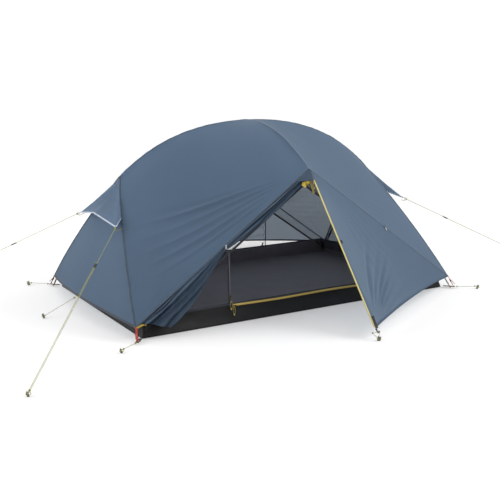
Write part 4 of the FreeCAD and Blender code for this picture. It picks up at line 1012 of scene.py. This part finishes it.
def net_wall(x0, x1, steps=30):
    """Net between two uprights of the rear side wall, from the tub to the side seam."""
    u, v = lattice(steps, steps)
    x = x0 + (x1 - x0) * u
    z = RIM + (seam_height(x) - RIM) * v
    y = wall_y(z) + 0.003 * np.sin(math.pi * u) * np.sin(math.pi * v)
    return np.stack([x, y, z], -1)


def inner_canopy():
    """Net roof and end walls in one sheet, with the fixed triangles beside the doors."""
    cloth = Cloth()
    u, v = lattice(60, 60)
    for side, end in QUARTERS:
        points = INNER_ROOF(u, v) * vec(side, end, 1)
        cloth.grid(points, PANEL, flip=side * end < 0, slack=edge_slack(u, v))
    for side in (1, -1):
        points = INNER_END(u, v) * vec(side, 1, 1)
        cloth.grid(points, PANEL, flip=side > 0, slack=edge_slack(u, v))
    for side, end in QUARTERS:
        triangle = net_wall(INNER_DOOR_HALF, seam_reach(RIM)) * vec(side, end, 1)
        cloth.grid(triangle, (0.5, 0.4), flip=side * end > 0, slack=np.zeros((31, 31)))
    cloth.weld()
    waves = 0.004 * soft_noise(cloth.points, 0.4, 3.0) + 0.0018 * np.sin(cloth.points[:, 2] * 150)
    cloth.push(cloth.slack * waves - 0.010 * cloth.slack)
    replaced = ("inner_roof", "inner_ends", "inner_rear_wall", "inner_front_wall")
    cloth.piece("inner_net_canopy", M["net"], "tent", "inner_net", replaced, NET_SHEET)


def inner_tapes():
    """Dark tapes over the inner seams and round the door openings."""
    tapes = Cloth()
    share = np.linspace(0, 1, 40)
    ridge = INNER_ROOF(share, share * 0)
    leg = INNER_ROOF(share * 0 + 1, share)
    side_seam = INNER_ROOF(share, share * 0 + 1)
    across = np.linspace(-1, 1, 40)[:, None]

    def tape(path, width=0.010, normal=UP):
        tapes.add(sweep(resample(path, 0.012), ribbon_profile(width, 0.0016), normal))

    tape(both_ways(ridge, TO_RIGHT))
    upright_top = seam_height(INNER_DOOR_HALF)
    foot = vec(INNER_DOOR_HALF, wall_y(RIM), RIM)
    head = vec(INNER_DOOR_HALF, wall_y(upright_top), upright_top)
    for side, end in QUARTERS:
        turn = vec(side, end, 1)
        tape(leg * turn, normal=unit(vec(side, 0.6 * end, 0.4)))
        tape(side_seam * turn, 0.012, unit(vec(0, end, 0.25)))
        tape([foot * turn, head * turn], 0.007, vec(0, end, 0.1))
    rim_height = across * 0 + TUB_TOP[2] + 0.0015
    for end in (1, -1):
        rim = np.concatenate([across * TUB_TOP[0], across * 0 + TUB_TOP[1] * end, rim_height], 1)
        tape(rim, 0.014, vec(0, end, 0.1))
    for side in (1, -1):
        rim = np.concatenate([across * 0 + TUB_TOP[0] * side, across * TUB_TOP[1], rim_height], 1)
        tape(rim, 0.014, vec(side, 0, 0.1))
    tapes.piece("inner_seam_tapes", M["tape"], "tent", "webbing")


def inner_rear_door():
    """Closed net door on the rear wall."""
    cloth = Cloth()
    inset = 0.006
    for x0, x1 in ((-INNER_DOOR_HALF + inset, 0), (0, INNER_DOOR_HALF - inset)):
        u, v = lattice(40, 40)
        x = x0 + (x1 - x0) * u
        z = RIM + 0.006 + (seam_height(x) - 0.022 - RIM) * v
        wave = 0.005 * np.sin(z * 105 + x * 6 + 1.5 * np.sin(x * 7)) * np.sin(math.pi * v)
        cloth.grid(np.stack([x, wall_y(z) + 0.003 + wave, z], -1), (0.5, 0.6), flip=True)
    cloth.weld()
    cloth.piece("inner_rear_door_net", M["net"], "inner_door", "inner_net", ("inner_rear_door",), NET_SHEET)


ROLL_INWARD = vec(-0.024, 0.026, 0)    # the rolled door's middle from the door's edge


def inner_front_roll():
    """Front net door rolled up and hung beside its hinge edge."""
    half = INNER_DOOR_HALF
    high = seam_height(half)
    marks = [(half * 0.52, seam_height(half * 0.52) - 0.060), (half * 0.72, seam_height(half * 0.72) - 0.075)]
    marks += [(half * 0.95, high - 0.10), (half, high - 0.17), (half, 0.24), (half, 0.125)]
    path = np.array([vec(x, -wall_y(z), z) + ROLL_INWARD for x, z in marks])
    path = resample(path, 0.03)
    path = resample(path, 0.006)
    angle = np.linspace(0, 2 * math.pi, 40, endpoint=False)
    reach = 0.012 * (1 + 0.10 * np.cos(5 * angle) + 0.05 * np.cos(9 * angle + 1))
    profile = np.stack([reach * np.cos(angle), reach * np.sin(angle)], -1)
    swell = 0.9 + 0.3 * np.sin(np.linspace(0, 9, len(path))) ** 2
    roll = sweep(path, profile, vec(0, -1, 0), turn=9.0, swell=swell)
    roll.piece("inner_front_door_roll", M["net_dark"], "tent", "inner_net", ("inner_front_door",))


# ---------------------------------------------------------------- zips, pulls, ties

def zip_strip(path, out, tape_width, coil_radius):
    """Woven tape with a raised toothed coil along its middle."""
    tape = sweep(resample(path, 0.01), ribbon_profile(tape_width, 0.0009), out)
    teeth = resample(path, 0.0011)
    swell = 1 + 0.22 * np.sin(np.arange(len(teeth)) * math.pi * 0.5)
    raised = teeth + np.asarray(out) * 0.001
    return tape, sweep(raised, round_profile(coil_radius, 8), out, swell=swell)


def zip_piece(name, paths, body, nodes, materials, tape_width, coil_radius=0.0019):
    """Tape and coil of one zip, as two pieces; each path comes with the way it faces."""
    tapes, coils = Cloth(), Cloth()
    for path, out in paths:
        tape, coil = zip_strip(path, unit(np.asarray(out, float)), tape_width, coil_radius)
        tapes.add(tape)
        coils.add(coil)
    tapes.piece(name + "_tape", materials[0], body, "zip_tape", nodes)
    coils.piece(name + "_coil", materials[1], body, "zip_tape")


def zips():
    """Porch zips ride on the doors that carry them; inner zips stay with the walls."""
    ahead = vec(-0.001, 0, 0) + PORCH_OUT * 0.002
    start = SHOULDER + PORCH_DOWN * 0.072 + ahead
    stop = PORCH_TIP - PORCH_DOWN * 0.002 + ahead
    path = resample([start, stop], 0.02)
    yellow = (M["fly_zip"], M["fly_coil"])
    gold = (M["zip"], M["coil"])
    dark = (M["upright_tape"], M["dark_coil"])
    for word, body, turn in (("rear", "rear_door_right", 1), ("front", "front_door", TO_FRONT)):
        runs = [(path * turn, PORCH_OUT * turn)]
        zip_piece(word + "_porch_zip", runs, body, ("fly_%s_zip" % word,), yellow, 0.010)
    half = INNER_DOOR_HALF - 0.020
    x = np.linspace(-half, half - 0.03, 40)
    base = np.stack([x, x * 0 + TUB_TOP[1] + 0.008, 0.0945 + 0.002 * np.sin(x * 9)], -1)
    bend = np.linspace(0, math.pi / 2, 10)[1:]
    curl = base[-1] + 0.035 * np.stack([np.sin(bend), 0 * bend, 1 - np.cos(bend)], -1)
    upright = [vec(0.0015 - INNER_DOOR_HALF, wall_y(z) + 0.006, z) for z in (0.137, 0.383)]
    for word, end in reversed(ENDS.items()):
        turn = vec(1, end, 1)
        runs = [(np.concatenate([base, curl]) * turn, vec(0, end, 0.1))]
        zip_piece("inner_%s_base_zip" % word, runs, "tent", ("inner_%s_zip" % word,), gold, 0.012)
        runs = [(np.array(upright) * turn, vec(0, end, 0.05))]
        zip_piece("inner_%s_side_zip" % word, runs, "tent", (), dark, 0.008)


def pull_loop(top, fall, sway, size=0.030):
    """Doubled cord hanging from a slider, knotted at its end."""
    t = np.linspace(0, 2 * math.pi, 36, endpoint=False)[:, None]
    middle = top + fall * size
    path = middle - fall * size * np.cos(t) + sway * 0.006 * np.sin(t)
    loop = cord(path, 0.0017, closed=True)
    return loop.add(knot(top + fall * size * 2.05, sway, 0.004, 0.0017))


def slider_pulls():
    """Cord pulls of the six sliders, each riding on its slider."""
    carried = {"fly_front_slider": ("front_slider", -0.004), "fly_rear_slider": ("rear_slider", 0.004)}
    for word, end in ENDS.items():
        for run in ("base", "side"):
            carried["inner_%s_slider_%s" % (word, run)] = ("inner_%s_%s_slider" % (word, run), 0.006 * end)
    for node, (body, ahead) in carried.items():
        low, high = (np.array(corner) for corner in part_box(node))
        face = high[1] if ahead > 0 else low[1]
        top = vec((low[0] + high[0]) / 2, face + ahead, low[2] + 0.006)
        loop = pull_loop(top, unit(vec(0, ahead * 8, -1)), vec(1, 0, 0), 0.022)
        loop.piece(node + "_pull", M["pull"], body, "cord")


def zip_bunch():
    """Slack yellow tape gathered at the top of the open porch."""
    top = SHOULDER * TO_FRONT + vec(0, -0.020, -0.030)
    t = np.linspace(0, 1, 60)
    sway = -0.014 - 0.006 * np.sin(t * 17)
    sink = -0.038 - 0.012 * t + 0.007 * np.sin(t * 14)
    twist = unit(np.stack([0.3 * np.sin(t * 11), -1 + 0 * t, 0.5 * np.cos(t * 9)], -1))
    across = np.stack([-0.008 - 0.058 * t, sway, sink], -1)
    fall = np.stack([-0.014 + 0.010 * t, -0.020 - 0.012 * t, -0.045 - 0.055 * t], -1)
    strap = sweep(top + across, ribbon_profile(0.020, 0.002), twist)
    strap.add(sweep(top + fall, ribbon_profile(0.015, 0.002), unit(vec(0.2, -1, 0.4))))
    strap.piece("porch_zip_slack", M["yellow_webbing"], "tent", "webbing")


BEAD_SWELL = np.array([0.5, 0.9, 1, 0.85, 0.7, 0.85, 1, 0.9, 0.5])


def tie_band(name, centre, axis, radius, nodes=()):
    """Flat elastic round a roll."""
    band = sweep(ring_path(centre, axis, radius), ribbon_profile(0.006, 0.0018), axis, closed=True)
    band.piece(name, M["elastic"], "tent", "elastic", nodes)


def bead(name, start, reach, up, body):
    """Waisted toggle from start along reach."""
    path = np.stack([start + reach * k for k in np.linspace(0, 1, len(BEAD_SWELL))])
    toggle = sweep(path, round_profile(0.0036, 12), up, swell=BEAD_SWELL)
    toggle.piece(name, M["white"], body, "moulding")


def ties():
    """Tie of the rolled porch, spare loop on the closed side, band of the inner roll."""
    centre = mix(ROLL_TOP, ROLL_FOOT, TIE_SHARE) + ROLL_BELOW * 0.014 + ROLL_OUT * 0.003
    tie_band("porch_tie_band", centre, ROLL_DOWN, 0.0165, ("door_ties",))
    bead("porch_tie_toggle", centre + vec(-0.004, -0.020, 0.030), vec(0, 0, -0.024), vec(0, -1, 0), "tent")
    spot = mix(SHOULDER, CORNER, 0.5) * TO_FRONT + vec(0.2, -0.75, 0.6) * 0.010
    hang = PORCH_DOWN * TO_FRONT
    t = np.linspace(0, 2 * math.pi, 30, endpoint=False)[:, None]
    loop = spot + hang * (0.016 - 0.016 * np.cos(t)) + vec(0.005, 0, 0) * np.sin(t)
    cord(loop, 0.0014, closed=True).piece("spare_tie_loop", M["elastic"], "front_door", "elastic")
    bead("spare_tie_toggle", spot + hang * 0.018, hang * 0.018, vec(1, 0, 0), "front_door")
    height = 0.223
    tie_band("inner_tie_band", vec(INNER_DOOR_HALF, -wall_y(height), height) + ROLL_INWARD, UP, 0.017)


# ---------------------------------------------------------------- lines and corners

STAKE_LOOP = 0.01075       # radius of a cord loop round a stake


def stake_axis(outward):
    """Direction up a stake, which leans away from the tent."""
    return vec(outward[0] * math.sin(STAKE_LEAN), outward[1] * math.sin(STAKE_LEAN), math.cos(STAKE_LEAN))


def stake_loop(ground, outward, towards):
    """Loop of cord round a stake and the point of it nearest to where the line comes from."""
    axis = stake_axis(outward)
    centre = ground + axis * 0.012
    aim = towards - centre
    flat = unit(aim - axis * (aim @ axis))
    return cord(ring_path(centre, axis, STAKE_LOOP), closed=True), centre + flat * STAKE_LOOP


def guyline(side, end, bearing, share):
    """Single cord to the tensioner, doubled from there to the stake, knotted at the hood."""
    outward = vec(side * math.cos(bearing), end * math.sin(bearing), 0)
    turn = vec(side, end, 1)
    ground = VENT_TIP * turn * vec(1, 1, 0) + outward * GUY_REACH
    tip = (VENT_TIP + vec(0.009, 0.009, -0.004)) * turn
    line, foot = stake_loop(ground, outward, tip)
    along = unit(foot - tip)
    level = unit(np.cross(along, UP))
    beside = level * 0.006
    doubled = tip + along * (np.linalg.norm(foot - tip) * share - 0.019) + beside
    line.add(cord([tip, foot]))
    line.add(cord([doubled, foot + beside]))
    line.add(knot(tip + along * 0.010, along))
    line.add(knot(doubled, along, 0.004))
    line.add(knot(foot - along * 0.010 + level * 0.003, along, 0.0055))
    tail = [tip + along * 0.010, tip + along * 0.018 - vec(0.020, 0.006, 0.006) * turn,
            tip + along * 0.020 - vec(0.052, 0.010, -0.004) * turn]
    line.add(cord(tail))
    return line.add(cord(ring_path(tip - along * 0.002, level, 0.006, 24), closed=True))


def guylines():
    """All four, as one piece."""
    lines = Cloth()
    for end_word, end in ENDS.items():
        for side_word, side in SIDES.items():
            key = (end_word, side_word)
            bearing = math.radians(GUY_BEARING.get(key, USUAL_BEARING))
            lines.add(guyline(side, end, bearing, TENSIONER_SHARE[key]))
    lines.piece("guy_cords", M["cord"], "tent", "cord", ("guylines",))


def staked_cord(start, ground, outward, knot_at, size=0.0045):
    """Loop on a stake, the cord from it to start, and the knot beside start."""
    line, rim = stake_loop(ground, outward, start)
    back = unit(rim - start)
    line.add(cord([start, rim])).add(knot(start + back * knot_at, rim - start, size))
    return line, rim, back


def ground_cords():
    """Cords of the corners, the hem middles and the porch tips."""
    lines = Cloth()
    for side, end in QUARTERS:
        turn = vec(side, end, 1)
        ground = vec(POLE_FOOT[0] + 0.130, POLE_FOOT[1] + 0.100, 0) * turn
        start = (POLE_FOOT + CORNER_OUT * 0.034) * turn
        line, rim, back = staked_cord(start, ground, CORNER_OUT * turn, 0.008)
        lines.add(line).add(knot(rim - back * 0.008, rim - start))
    hem_middle = vec(CORNER[0] + HEM_PULL[0] + 0.006, 0, CORNER[2] + HEM_PULL[2] - 0.004)
    for side in (1, -1):
        turn = vec(side, 1, 1)
        ground = vec(1.325 * side, 0, 0)
        lines.add(staked_cord(hem_middle * turn, ground, vec(side, 0, 0), 0.012, 0.006)[0])
    for end in (1, -1):
        outward = vec(0, end, 0)
        ground = outward * (PORCH_TIP[1] + 0.034)
        bar = outward * (PORCH_TIP[1] + 0.012) + vec(0, 0, 0.036)
        half = vec(0.022, 0, 0)
        lines.add(cord([bar - half, bar + half]))
        lines.add(stake_loop(ground, outward, bar)[0])
        for point in (bar - half, bar + half):
            rim = stake_loop(ground, outward, point)[1]
            lines.add(cord([point, rim])).add(knot(point, half, 0.004))
    lines.piece("ground_cords", M["cord"], "tent", "cord", ("stake_cords",))


def buckle(centre, along, across):
    """Ladder-lock: rounded frame with a middle bar."""
    normal = np.cross(along, across)
    half_w, half_l = 0.0095, 0.008
    outline = [(-1, -0.7), (-0.7, -1), (0.7, -1), (1, -0.7), (1, 0.7), (0.7, 1), (-0.7, 1), (-1, 0.7)]
    marks = [centre + across * (a * half_w) + along * (b * half_l) for a, b in outline]
    steps = np.linspace(0, 1, 4, endpoint=False)
    path = np.concatenate([mix(marks[k - 1], marks[k], steps) for k in (1, 2, 3, 4, 5, 6, 7, 0)])
    solid = sweep(path, round_profile(0.0017, 8), normal, closed=True)
    bar = np.array([centre - across * half_w, centre, centre + across * half_w])
    return solid.add(sweep(bar, round_profile(0.0015, 8), normal))


def corner_tab():
    """Doubled webbing round the pole tip, with the hole the tip stands in."""
    hole = 0.0065
    thickness = 0.0016
    angle = np.linspace(0, 2 * math.pi, 48, endpoint=False)
    rim = np.stack([np.cos(angle), np.sin(angle)], -1)
    square = rim / np.abs(rim).max(1, keepdims=True)
    reach = np.where(square[:, :1] > 0, 0.030, 0.044)
    far = square * np.concatenate([reach, 0 * reach + 0.010], 1)
    sheet = []
    for edge, height in ((rim * hole, -0.5), (far, -0.5), (far, 0.5), (rim * hole, 0.5), (rim * hole, -0.5)):
        flat = CORNER_OUT * edge[:, :1] + CORNER_ACROSS * edge[:, 1:]
        sheet.append(POLE_FOOT + flat + UP * (height * thickness))
    tab = Cloth()
    tab.grid(np.stack(sheet, 0), (0.02, 0.02), wrap=True)
    tab.weld(1e-7)
    return tab


def corners():
    """Grommeted tab on each tub corner, and the red strap that pulls the outer tent to it."""
    grommet = round_profile(0.0019, 8) * vec(1.3, 1.0)
    ring = sweep(ring_path(POLE_FOOT, UP, 0.0085), grommet, UP, closed=True)
    top = CORNER + vec(-0.004, 0.002, 0.006)
    low = POLE_FOOT + CORNER_OUT * 0.019 + vec(0, 0, 0.003)
    along = unit(low - top)
    facing = unit(np.cross(along, CORNER_ACROSS))
    pulled = [top, top + along * 0.030, low]
    tail = [top + along * 0.034 + facing * 0.003, top + along * 0.048 + facing * 0.008,
            low + facing * 0.010 + vec(0, 0, 0.008)]
    strap = sweep(resample(pulled, 0.004), ribbon_profile(0.012, 0.0018), facing)
    strap.add(sweep(resample(tail, 0.004), ribbon_profile(0.012, 0.0016), facing))
    lock = buckle(top + along * 0.036, along, CORNER_ACROSS)
    for shape, name, material, slot, nodes in (
            (corner_tab(), "corner_tabs", "black_webbing", "webbing", ("corner_webbing",)),
            (ring, "corner_grommets", "brass", "bare_alloy", ()),
            (strap, "corner_red_straps", "red", "webbing", ("corner_straps",)),
            (lock, "corner_buckles", "black", "moulding", ())):
        shape.in_quarters().piece(name, M[material], "tent", slot, nodes)


def porch_tabs():
    """Black webbing at each porch tip and halfway up its zip."""
    for name, end, body in (("front_porch_tab", -1, "front_door"), ("rear_porch_tab", 1, "rear_door_right")):
        turn = vec(1, end, 1)
        out = PORCH_OUT * turn
        start = (PORCH_TIP - PORCH_DOWN * 0.062 + vec(0.012, 0.002, 0.002)) * turn + out * 0.003
        stop = (PORCH_TIP + vec(0.010, 0.004, -0.003)) * turn + out * 0.003
        middle = (mix(SHOULDER, PORCH_TIP, 0.47) + vec(0.012, 0, 0)) * turn + out * 0.003
        halfway = [middle, middle + PORCH_DOWN * turn * 0.020]
        tab = sweep(resample([start, stop], 0.005), ribbon_profile(0.016, 0.0022), out)
        tab.add(sweep(resample(halfway, 0.005), ribbon_profile(0.012, 0.0024), out))
        tab.piece(name, M["black_webbing"], body, "webbing")


def hem_loop():
    """Yellow loop at the end of the rolled half's hem."""
    t = np.linspace(0, 1, 24)
    arc = 0.010 * np.sin(math.pi * t)
    path = CORNER + vec(-0.058, 0.004, 0.008) + np.stack([0.058 * t, arc, arc - 0.012 * t], -1)
    loop = sweep(path, ribbon_profile(0.009, 0.0018), vec(0, 1, 0.3)).mirrored(-1, -1)
    loop.piece("rolled_hem_loop", M["yellow_webbing"], "tent", "webbing")


# ---------------------------------------------------------------- carried-over CAD nodes

FINISH = {"ridge_pole": "pole", "leg_poles": "pole", "cross_pole": "pole", "pole_ferrules": "alloy",
          "shock_cord": "elastic", "end_hubs": "black", "centre_hub": "black", "pole_tips": "tip",
          "cross_pole_caps": "black", "pole_clips": "black", "stake_cords": None}
FITTINGS = {"hook": "black", "slider": "slider", "tensioner": "black", "stake": "stake"}


def dress_frame():
    """Materials for the hard parts kept from the frame, softened edges for the small ones."""
    for name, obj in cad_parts.items():
        fitting = next((FITTINGS[word] for word in FITTINGS if word in name), None)
        finish = FINISH.get(name, fitting)
        if not finish:
            continue
        obj.data.materials.clear()
        obj.data.materials.append(M[finish])
        if name not in FINISH:
            bevel = obj.modifiers.new("Edges", "BEVEL")
            bevel.width = 0.0004
            bevel.segments = 2
            bevel.limit_method = "ANGLE"


# ---------------------------------------------------------------- studio

FLOOR_SEEN, FLOOR_LIGHTING = 0.66, 0.16    # floor tone seen by the camera, and for bounced light
FLOOR_GLOW = 0.30
FADE_FROM, FADE_TO = 2.5, 5.0              # where the floor fades into the backdrop
BACKDROP_SEEN, BACKDROP_LIGHTING = 1.01, 0.66
LIGHTS = {                                 # place and power
    "key": ((4.6, -3.0, 4.2), 265),
    "fill": ((-5.6, 1.0, 2.6), 170),
    "back": ((-1.0, 4.8, 4.0), 80),
}


def studio_floor():
    """Pale floor that fades out with distance."""
    bpy.ops.mesh.primitive_plane_add(size=24, location=(0, 0, -0.0015))
    floor = bpy.context.object
    floor.name = "studio_floor"
    s = Shader("studio_floor")
    seen = s.add("ShaderNodeLightPath").outputs["Is Camera Ray"]
    tone = s.blend(seen, (FLOOR_LIGHTING,) * 3, (FLOOR_SEEN,) * 3)
    glow = s.math("MULTIPLY", seen, FLOOR_GLOW)
    paper = s.surface(Base_Color=tone, Roughness=0.9, Specular_IOR_Level=0.1,
                      Emission_Color=(1.0, 1.0, 1.0), Emission_Strength=glow)
    away = s.add("ShaderNodeVectorMath", {0: s.place}, operation="LENGTH").outputs["Value"]
    limits = {"Value": away, "From Min": FADE_FROM, "From Max": FADE_TO}
    fade = s.add("ShaderNodeMapRange", limits).outputs[0]
    clear = s.add("ShaderNodeBsdfTransparent").outputs[0]
    mixed = s.add("ShaderNodeMixShader", {0: fade, 1: paper, 2: clear}).outputs[0]
    floor.data.materials.append(s.finish(mixed))


def backdrop():
    """White surroundings, a little weaker as a light than as seen."""
    world = bpy.data.worlds.new("studio")
    bpy.context.scene.world = world
    world.use_nodes = True
    tree = world.node_tree
    background = tree.nodes["Background"]
    ray = tree.nodes.new("ShaderNodeLightPath").outputs["Is Camera Ray"]
    strength = tree.nodes.new("ShaderNodeMapRange")
    tree.links.new(ray, strength.inputs["Value"])
    strength.inputs["To Min"].default_value = BACKDROP_LIGHTING
    strength.inputs["To Max"].default_value = BACKDROP_SEEN
    tree.links.new(strength.outputs[0], background.inputs["Strength"])
    background.inputs["Color"].default_value = (1, 1, 1, 1)


def lights():
    """Three large soft lights, aimed at the middle of the tent."""
    middle = Vector((0, 0, 0.4))
    for name, (place, power) in LIGHTS.items():
        light = bpy.data.lights.new(name, "AREA")
        light.energy = power
        light.size = 4.0
        lamp = bpy.data.objects.new(name, light)
        lamp.location = place
        lamp.rotation_mode = "QUATERNION"
        lamp.rotation_quaternion = (middle - Vector(place)).to_track_quat("-Z", "Y")
        bpy.context.scene.collection.objects.link(lamp)


CAMERA_PLACE = Vector((-2.634, -4.495, 1.336))
CAMERA_YAW = math.radians(30.39)
CAMERA_PITCH = math.radians(12.40)
CAMERA_ROLL = math.radians(0.35)
CAMERA_LENS = 61.13        # mm on a 36 mm wide sensor
CAMERA_SHIFT = 0.0146


def camera():
    """The photograph's own point of view."""
    data = bpy.data.cameras.new("camera")
    data.lens = CAMERA_LENS
    data.sensor_width = 36
    data.shift_y = CAMERA_SHIFT
    cam = bpy.data.objects.new("camera", data)
    bpy.context.scene.collection.objects.link(cam)
    level = math.cos(CAMERA_PITCH)
    heading = Vector((math.sin(CAMERA_YAW) * level, math.cos(CAMERA_YAW) * level, -math.sin(CAMERA_PITCH)))
    cam.location = CAMERA_PLACE
    cam.rotation_mode = "QUATERNION"
    cam.rotation_quaternion = Quaternion(heading, CAMERA_ROLL) @ heading.to_track_quat("-Z", "Y")
    bpy.context.scene.camera = cam


# ---------------------------------------------------------------- the tent

FLY_TREE = fly_canopy()
vent_nets()
fly_seams(FLY_TREE)
porch("front_porch_right", 0.004, 1, -1, "front_door", "fly_front_door_right")
porch("rear_porch_right", 0.004, 1, 1, "rear_door_right", "fly_rear_door_right")
porch("rear_porch_left", 0.011, -1, 1, "rear_door_left", "fly_rear_door_left")
rolled_porch()
shoulder_patch()
vent_hoods()
tub()
inner_canopy()
inner_tapes()
inner_rear_door()
inner_front_roll()
zips()
slider_pulls()
zip_bunch()
ties()
guylines()
ground_cords()
corners()
porch_tabs()
hem_loop()
dress_frame()
studio_floor()
backdrop()
lights()
camera()
bpy.context.scene.view_settings.view_transform = "Standard"
